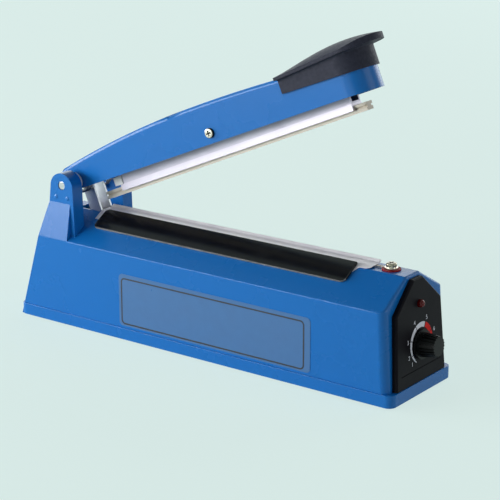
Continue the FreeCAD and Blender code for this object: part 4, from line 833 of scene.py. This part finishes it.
@dataclass
class TimerDial:
    """The print round the timer knob: a scale that widens, a red end and six numbers."""

    middle: tuple[float, float] = (1.0, 32.0)
    face: float = 3.6
    film: float = 0.05
    outer: float = 13.0
    white: tuple[float, float] = (-150.0, 22.0)
    red: tuple[float, float] = (24.5, 88.0)
    widths: tuple[float, float] = (0.35, 3.4)
    width_power: float = 0.6
    step_angle: float = 4.0
    marks: tuple[float, ...] = (-118.0, -73.0, -28.0)
    red_mark: float = 67.0
    mark_width: float = 2.6
    number_angles: tuple[float, ...] = (-135.0, -113.0, -76.0, -27.0, 26.0, 73.0)
    number_radius: float = 15.9
    number_size: float = 3.9

    def build(self) -> bpy.types.Object:
        """Prints the scale and its numbers on the panel.

        Returns:
            The print as one piece.
        """
        form = bmesh.new()
        stops = [self.white[0], *self.marks, self.white[1]]
        for low, high in zip(stops, stops[1:]):
            self.band(form, low, high, 0)
        self.band(form, self.red[0], self.red_mark, 1)
        self.band(form, self.red_mark, self.red[1], 1)
        bmesh.ops.recalc_face_normals(form, faces=form.faces)
        bmesh.ops.solidify(form, geom=form.faces[:], thickness=self.film)
        for number, angle in enumerate(self.number_angles, start=1):
            self.number(form, str(number), math.radians(angle))
        across, height = self.middle
        upright = Matrix(((0.0, 0.0, 1.0, self.face), (1.0, 0.0, 0.0, across), (0.0, 1.0, 0.0, height),
                          (0.0, 0.0, 0.0, 1.0)))
        bmesh.ops.transform(form, matrix=upright, verts=form.verts)
        return Fitting("dial_print", Body.BASE, (INK_WHITE, INK_RED)).join(form, Place.PANEL)

    def band(self, form: bmesh.types.BMesh, low: float, high: float, ink: int) -> None:
        """Prints one stretch of the scale between two marks.

        Args:
            form: The print's form.
            low: Clock angle where it starts, in degrees.
            high: Clock angle where it ends.
            ink: Number of its finish.
        """
        half_gap = self.mark_width / 2
        low, high = low + half_gap * (low != self.white[0]), high - half_gap * (high != self.white[1])
        steps = max(2, round((high - low) / self.step_angle))
        grid = bmesh.ops.create_grid(form, x_segments=steps, y_segments=1, size=1.0)["verts"]
        for vert in grid:
            angle = low + (vert.co.x + 1) / 2 * (high - low)
            share = min(1.0, (angle - self.white[0]) / (self.white[1] - self.white[0]))
            width = self.widths[0] + share ** self.width_power * (self.widths[1] - self.widths[0])
            radius = self.outer - width * (1 - vert.co.y) / 2
            turn = math.radians(angle)
            vert.co = (radius * math.sin(turn), radius * math.cos(turn), self.film / 2)
        for face in {face for vert in grid for face in vert.link_faces}:
            face.material_index = ink

    def number(self, form: bmesh.types.BMesh, text: str, angle: float) -> None:
        """Prints one number beside the scale.

        Args:
            form: The print's form.
            text: The number.
            angle: Its clock angle in radians.
        """
        curve = bpy.data.curves.new("dial_number", "FONT")
        curve.body = text
        curve.size = self.number_size
        curve.align_x = "CENTER"
        curve.align_y = "CENTER"
        curve.extrude = self.film / 2
        drawn = bpy.data.objects.new("dial_number", curve)
        bpy.context.scene.collection.objects.link(drawn)
        mesh = bpy.data.meshes.new_from_object(drawn.evaluated_get(bpy.context.evaluated_depsgraph_get()))
        centre = (self.number_radius * math.sin(angle), self.number_radius * math.cos(angle), self.film / 2)
        mesh.transform(Matrix.Translation(centre))
        form.from_mesh(mesh)
        bpy.data.objects.remove(drawn)
        bpy.data.curves.remove(curve)
        bpy.data.meshes.remove(mesh)


@dataclass
class LabelFrame:
    """The dark line printed round the bare label."""

    start: float = -60.2
    end: float = 87.6
    low: float = 12.2
    high: float = 44.6
    front: float = -35.06
    corner: float = 3.2
    corner_segments: int = 8
    line: float = 1.0
    film: float = 0.04

    def build(self) -> bpy.types.Object:
        """Prints the line.

        Returns:
            The line as one piece.
        """
        form = bmesh.new()
        middle = Vector(((self.start + self.end) / 2, self.front, (self.low + self.high) / 2))
        stand = Matrix.Translation(middle) @ Matrix.Rotation(math.radians(90), 4, "X")
        size = Matrix.Diagonal(((self.end - self.start) / 2, (self.high - self.low) / 2, 1.0, 1.0))
        bmesh.ops.create_grid(form, x_segments=1, y_segments=1, size=1.0, matrix=stand @ size)
        bmesh.ops.bevel(form, geom=form.verts[:], offset=self.corner, segments=self.corner_segments,
                        profile=0.5, affect="VERTICES", material=-1)
        inner = form.faces[:]
        bmesh.ops.inset_region(form, faces=inner, thickness=self.line, use_boundary=True,
                               use_even_offset=True)
        bmesh.ops.delete(form, geom=inner, context="FACES")
        bmesh.ops.recalc_face_normals(form, faces=form.faces)
        bmesh.ops.solidify(form, geom=form.faces[:], thickness=self.film)
        return Fitting("label_line", Body.BASE, (INK_DARK,), "label_film").join(form, Place.TABLE)


@dataclass(frozen=True)
class Softbox:
    """A soft lamp that faces the object and stays out of the picture.

    Attributes:
        name: The lamp's name.
        spot: Its place in metres.
        size: Its width and height in metres.
        power: Its power in watts.
    """

    name: str
    spot: tuple[float, float, float]
    size: tuple[float, float]
    power: float

    def stand(self, target: Vector) -> None:
        """Stands the lamp in its place.

        Args:
            target: The point that it faces, in metres.
        """
        data = bpy.data.lights.new(self.name, "AREA")
        data.shape = "RECTANGLE"
        data.size, data.size_y = self.size
        data.energy = self.power
        lamp = bpy.data.objects.new(self.name, data)
        lamp.visible_camera = False
        lamp.location = self.spot
        lamp.rotation_euler = (target - Vector(self.spot)).to_track_quat("-Z", "Y").to_euler()
        bpy.context.scene.collection.objects.link(lamp)


@dataclass
class Studio:
    """The camera, the soft lights, the pale floor and the walls."""

    azimuth: float = 36.38
    elevation: float = 17.034
    distance: float = 1.1476
    target: tuple[float, float, float] = (0.02027, 0.0, 0.06943)
    lens: float = 127.7
    sensor: float = 36.0
    floor_size: float = 30.0
    floor_colour: str = "#E6F9F5"
    floor_glow: float = 0.75
    sky_colour: str = "#E8EDF2"
    sky_strength: float = 0.1
    lamps: tuple[Softbox, ...] = (
        Softbox("key_front_left", (-1.3, -0.95, 0.3), (2.2, 0.54), 39.0),
        Softbox("fill_front", (0.1, -1.8, 0.3), (1.0, 0.54), 2.0),
        Softbox("fill_panel_end", (1.8, 0.3, 0.5), (1.0, 1.0), 6.5),
        Softbox("fill_back", (0.4, 2.0, 0.6), (1.4, 1.0), 12.0),
        Softbox("card_back_left", (-1.5, 2.0, 0.7), (2.0, 1.2), 11.0),
        Softbox("top_soft", (0.2, 0.5, 1.9), (1.6, 1.2), 0.8),
    )

    def build(self) -> None:
        """Sets up everything that isn't part of the object."""
        scene = bpy.context.scene
        scene.view_settings.view_transform = "Standard"
        scene.camera = self.camera()
        self.sky()
        self.floor()
        for lamp in self.lamps:
            lamp.stand(Vector(self.target))

    def camera(self) -> bpy.types.Object:
        """Stands the camera at the picture's viewing angle.

        Returns:
            The camera.
        """
        turn, lift = math.radians(self.azimuth), math.radians(self.elevation)
        back = Vector((math.sin(turn) * math.cos(lift), -math.cos(turn) * math.cos(lift), math.sin(lift)))
        data = bpy.data.cameras.new("camera")
        data.lens = self.lens
        data.sensor_width = self.sensor
        camera = bpy.data.objects.new("camera", data)
        camera.location = Vector(self.target) + back * self.distance
        camera.rotation_euler = back.to_track_quat("Z", "Y").to_euler()
        bpy.context.scene.collection.objects.link(camera)
        return camera

    def sky(self) -> None:
        """Gives the studio's walls: an even, dim light that shows pale where it is looked at or mirrored."""
        world = bpy.data.worlds.new("studio_walls")
        world.use_nodes = True
        tree = world.node_tree
        tree.nodes.clear()
        dim = add_node(tree, "ShaderNodeBackground",
                       {"Color": linear(self.sky_colour), "Strength": self.sky_strength})
        pale = add_node(tree, "ShaderNodeBackground",
                        {"Color": linear(self.floor_colour), "Strength": self.floor_glow})
        walls = add_node(tree, "ShaderNodeMixShader", links={
            0: self.looked_at(tree), 1: dim.outputs["Background"], 2: pale.outputs["Background"]})
        add_node(tree, "ShaderNodeOutputWorld", links={"Surface": walls.outputs["Shader"]})
        bpy.context.scene.world = world

    def looked_at(self, tree: bpy.types.NodeTree) -> bpy.types.NodeSocket:
        """Adds the test of whether a ray looks at a surface, mirrors it or passes through glass to it.

        Args:
            tree: The node tree of the floor or the walls.

        Returns:
            The socket that is 1 for such a ray and 0 for the others.
        """
        ray = add_node(tree, "ShaderNodeLightPath").outputs
        seen = add_node(tree, "ShaderNodeMath", {"operation": "ADD"},
                        {0: ray["Is Camera Ray"], 1: ray["Is Glossy Ray"]})
        return add_node(tree, "ShaderNodeMath", {"operation": "ADD", "use_clamp": True},
                        {0: seen.outputs["Value"], 1: ray["Is Transmission Ray"]}).outputs["Value"]

    def floor(self) -> None:
        """Lays the floor, which keeps the object's shadow and shows pale to the camera and in reflections."""
        form = bmesh.new()
        bmesh.ops.create_grid(form, x_segments=1, y_segments=1, size=self.floor_size)
        mesh = bpy.data.meshes.new("floor")
        form.to_mesh(mesh)
        form.free()
        mesh.materials.append(self.floor_material())
        floor = bpy.data.objects.new("floor", mesh)
        bpy.context.scene.collection.objects.link(floor)

    def floor_material(self) -> bpy.types.Material:
        """Makes the floor's matt paper.

        Returns:
            The material, with part of its paleness its own where it is looked at or mirrored.
        """
        material = bpy.data.materials.new("studio_paper_floor")
        material.use_nodes = True
        tree = material.node_tree
        tree.nodes.clear()
        share = add_node(tree, "ShaderNodeMath", {"operation": "MULTIPLY", 1: self.floor_glow},
                         {0: self.looked_at(tree)})
        paper = add_node(tree, "ShaderNodeBsdfDiffuse", {"Color": linear(self.floor_colour)})
        glow = add_node(tree, "ShaderNodeEmission", {"Color": linear(self.floor_colour), "Strength": 1.0})
        mixed = add_node(tree, "ShaderNodeMixShader", links={
            0: share.outputs["Value"], 1: paper.outputs["BSDF"], 2: glow.outputs["Emission"]})
        add_node(tree, "ShaderNodeOutputMaterial", links={"Surface": mixed.outputs["Shader"]})
        return material


def main() -> None:
    """Builds the pieces in order and sets up the studio."""
    logging.basicConfig(level=logging.INFO, format="%(name)s: %(message)s")
    dress_nodes()
    for part in (LiftSprings(), ClothCover(), ClampPlates(), TimerDial(), LabelFrame()):
        part.build()
    Studio().build()


if __name__ == "__main__":
    main()
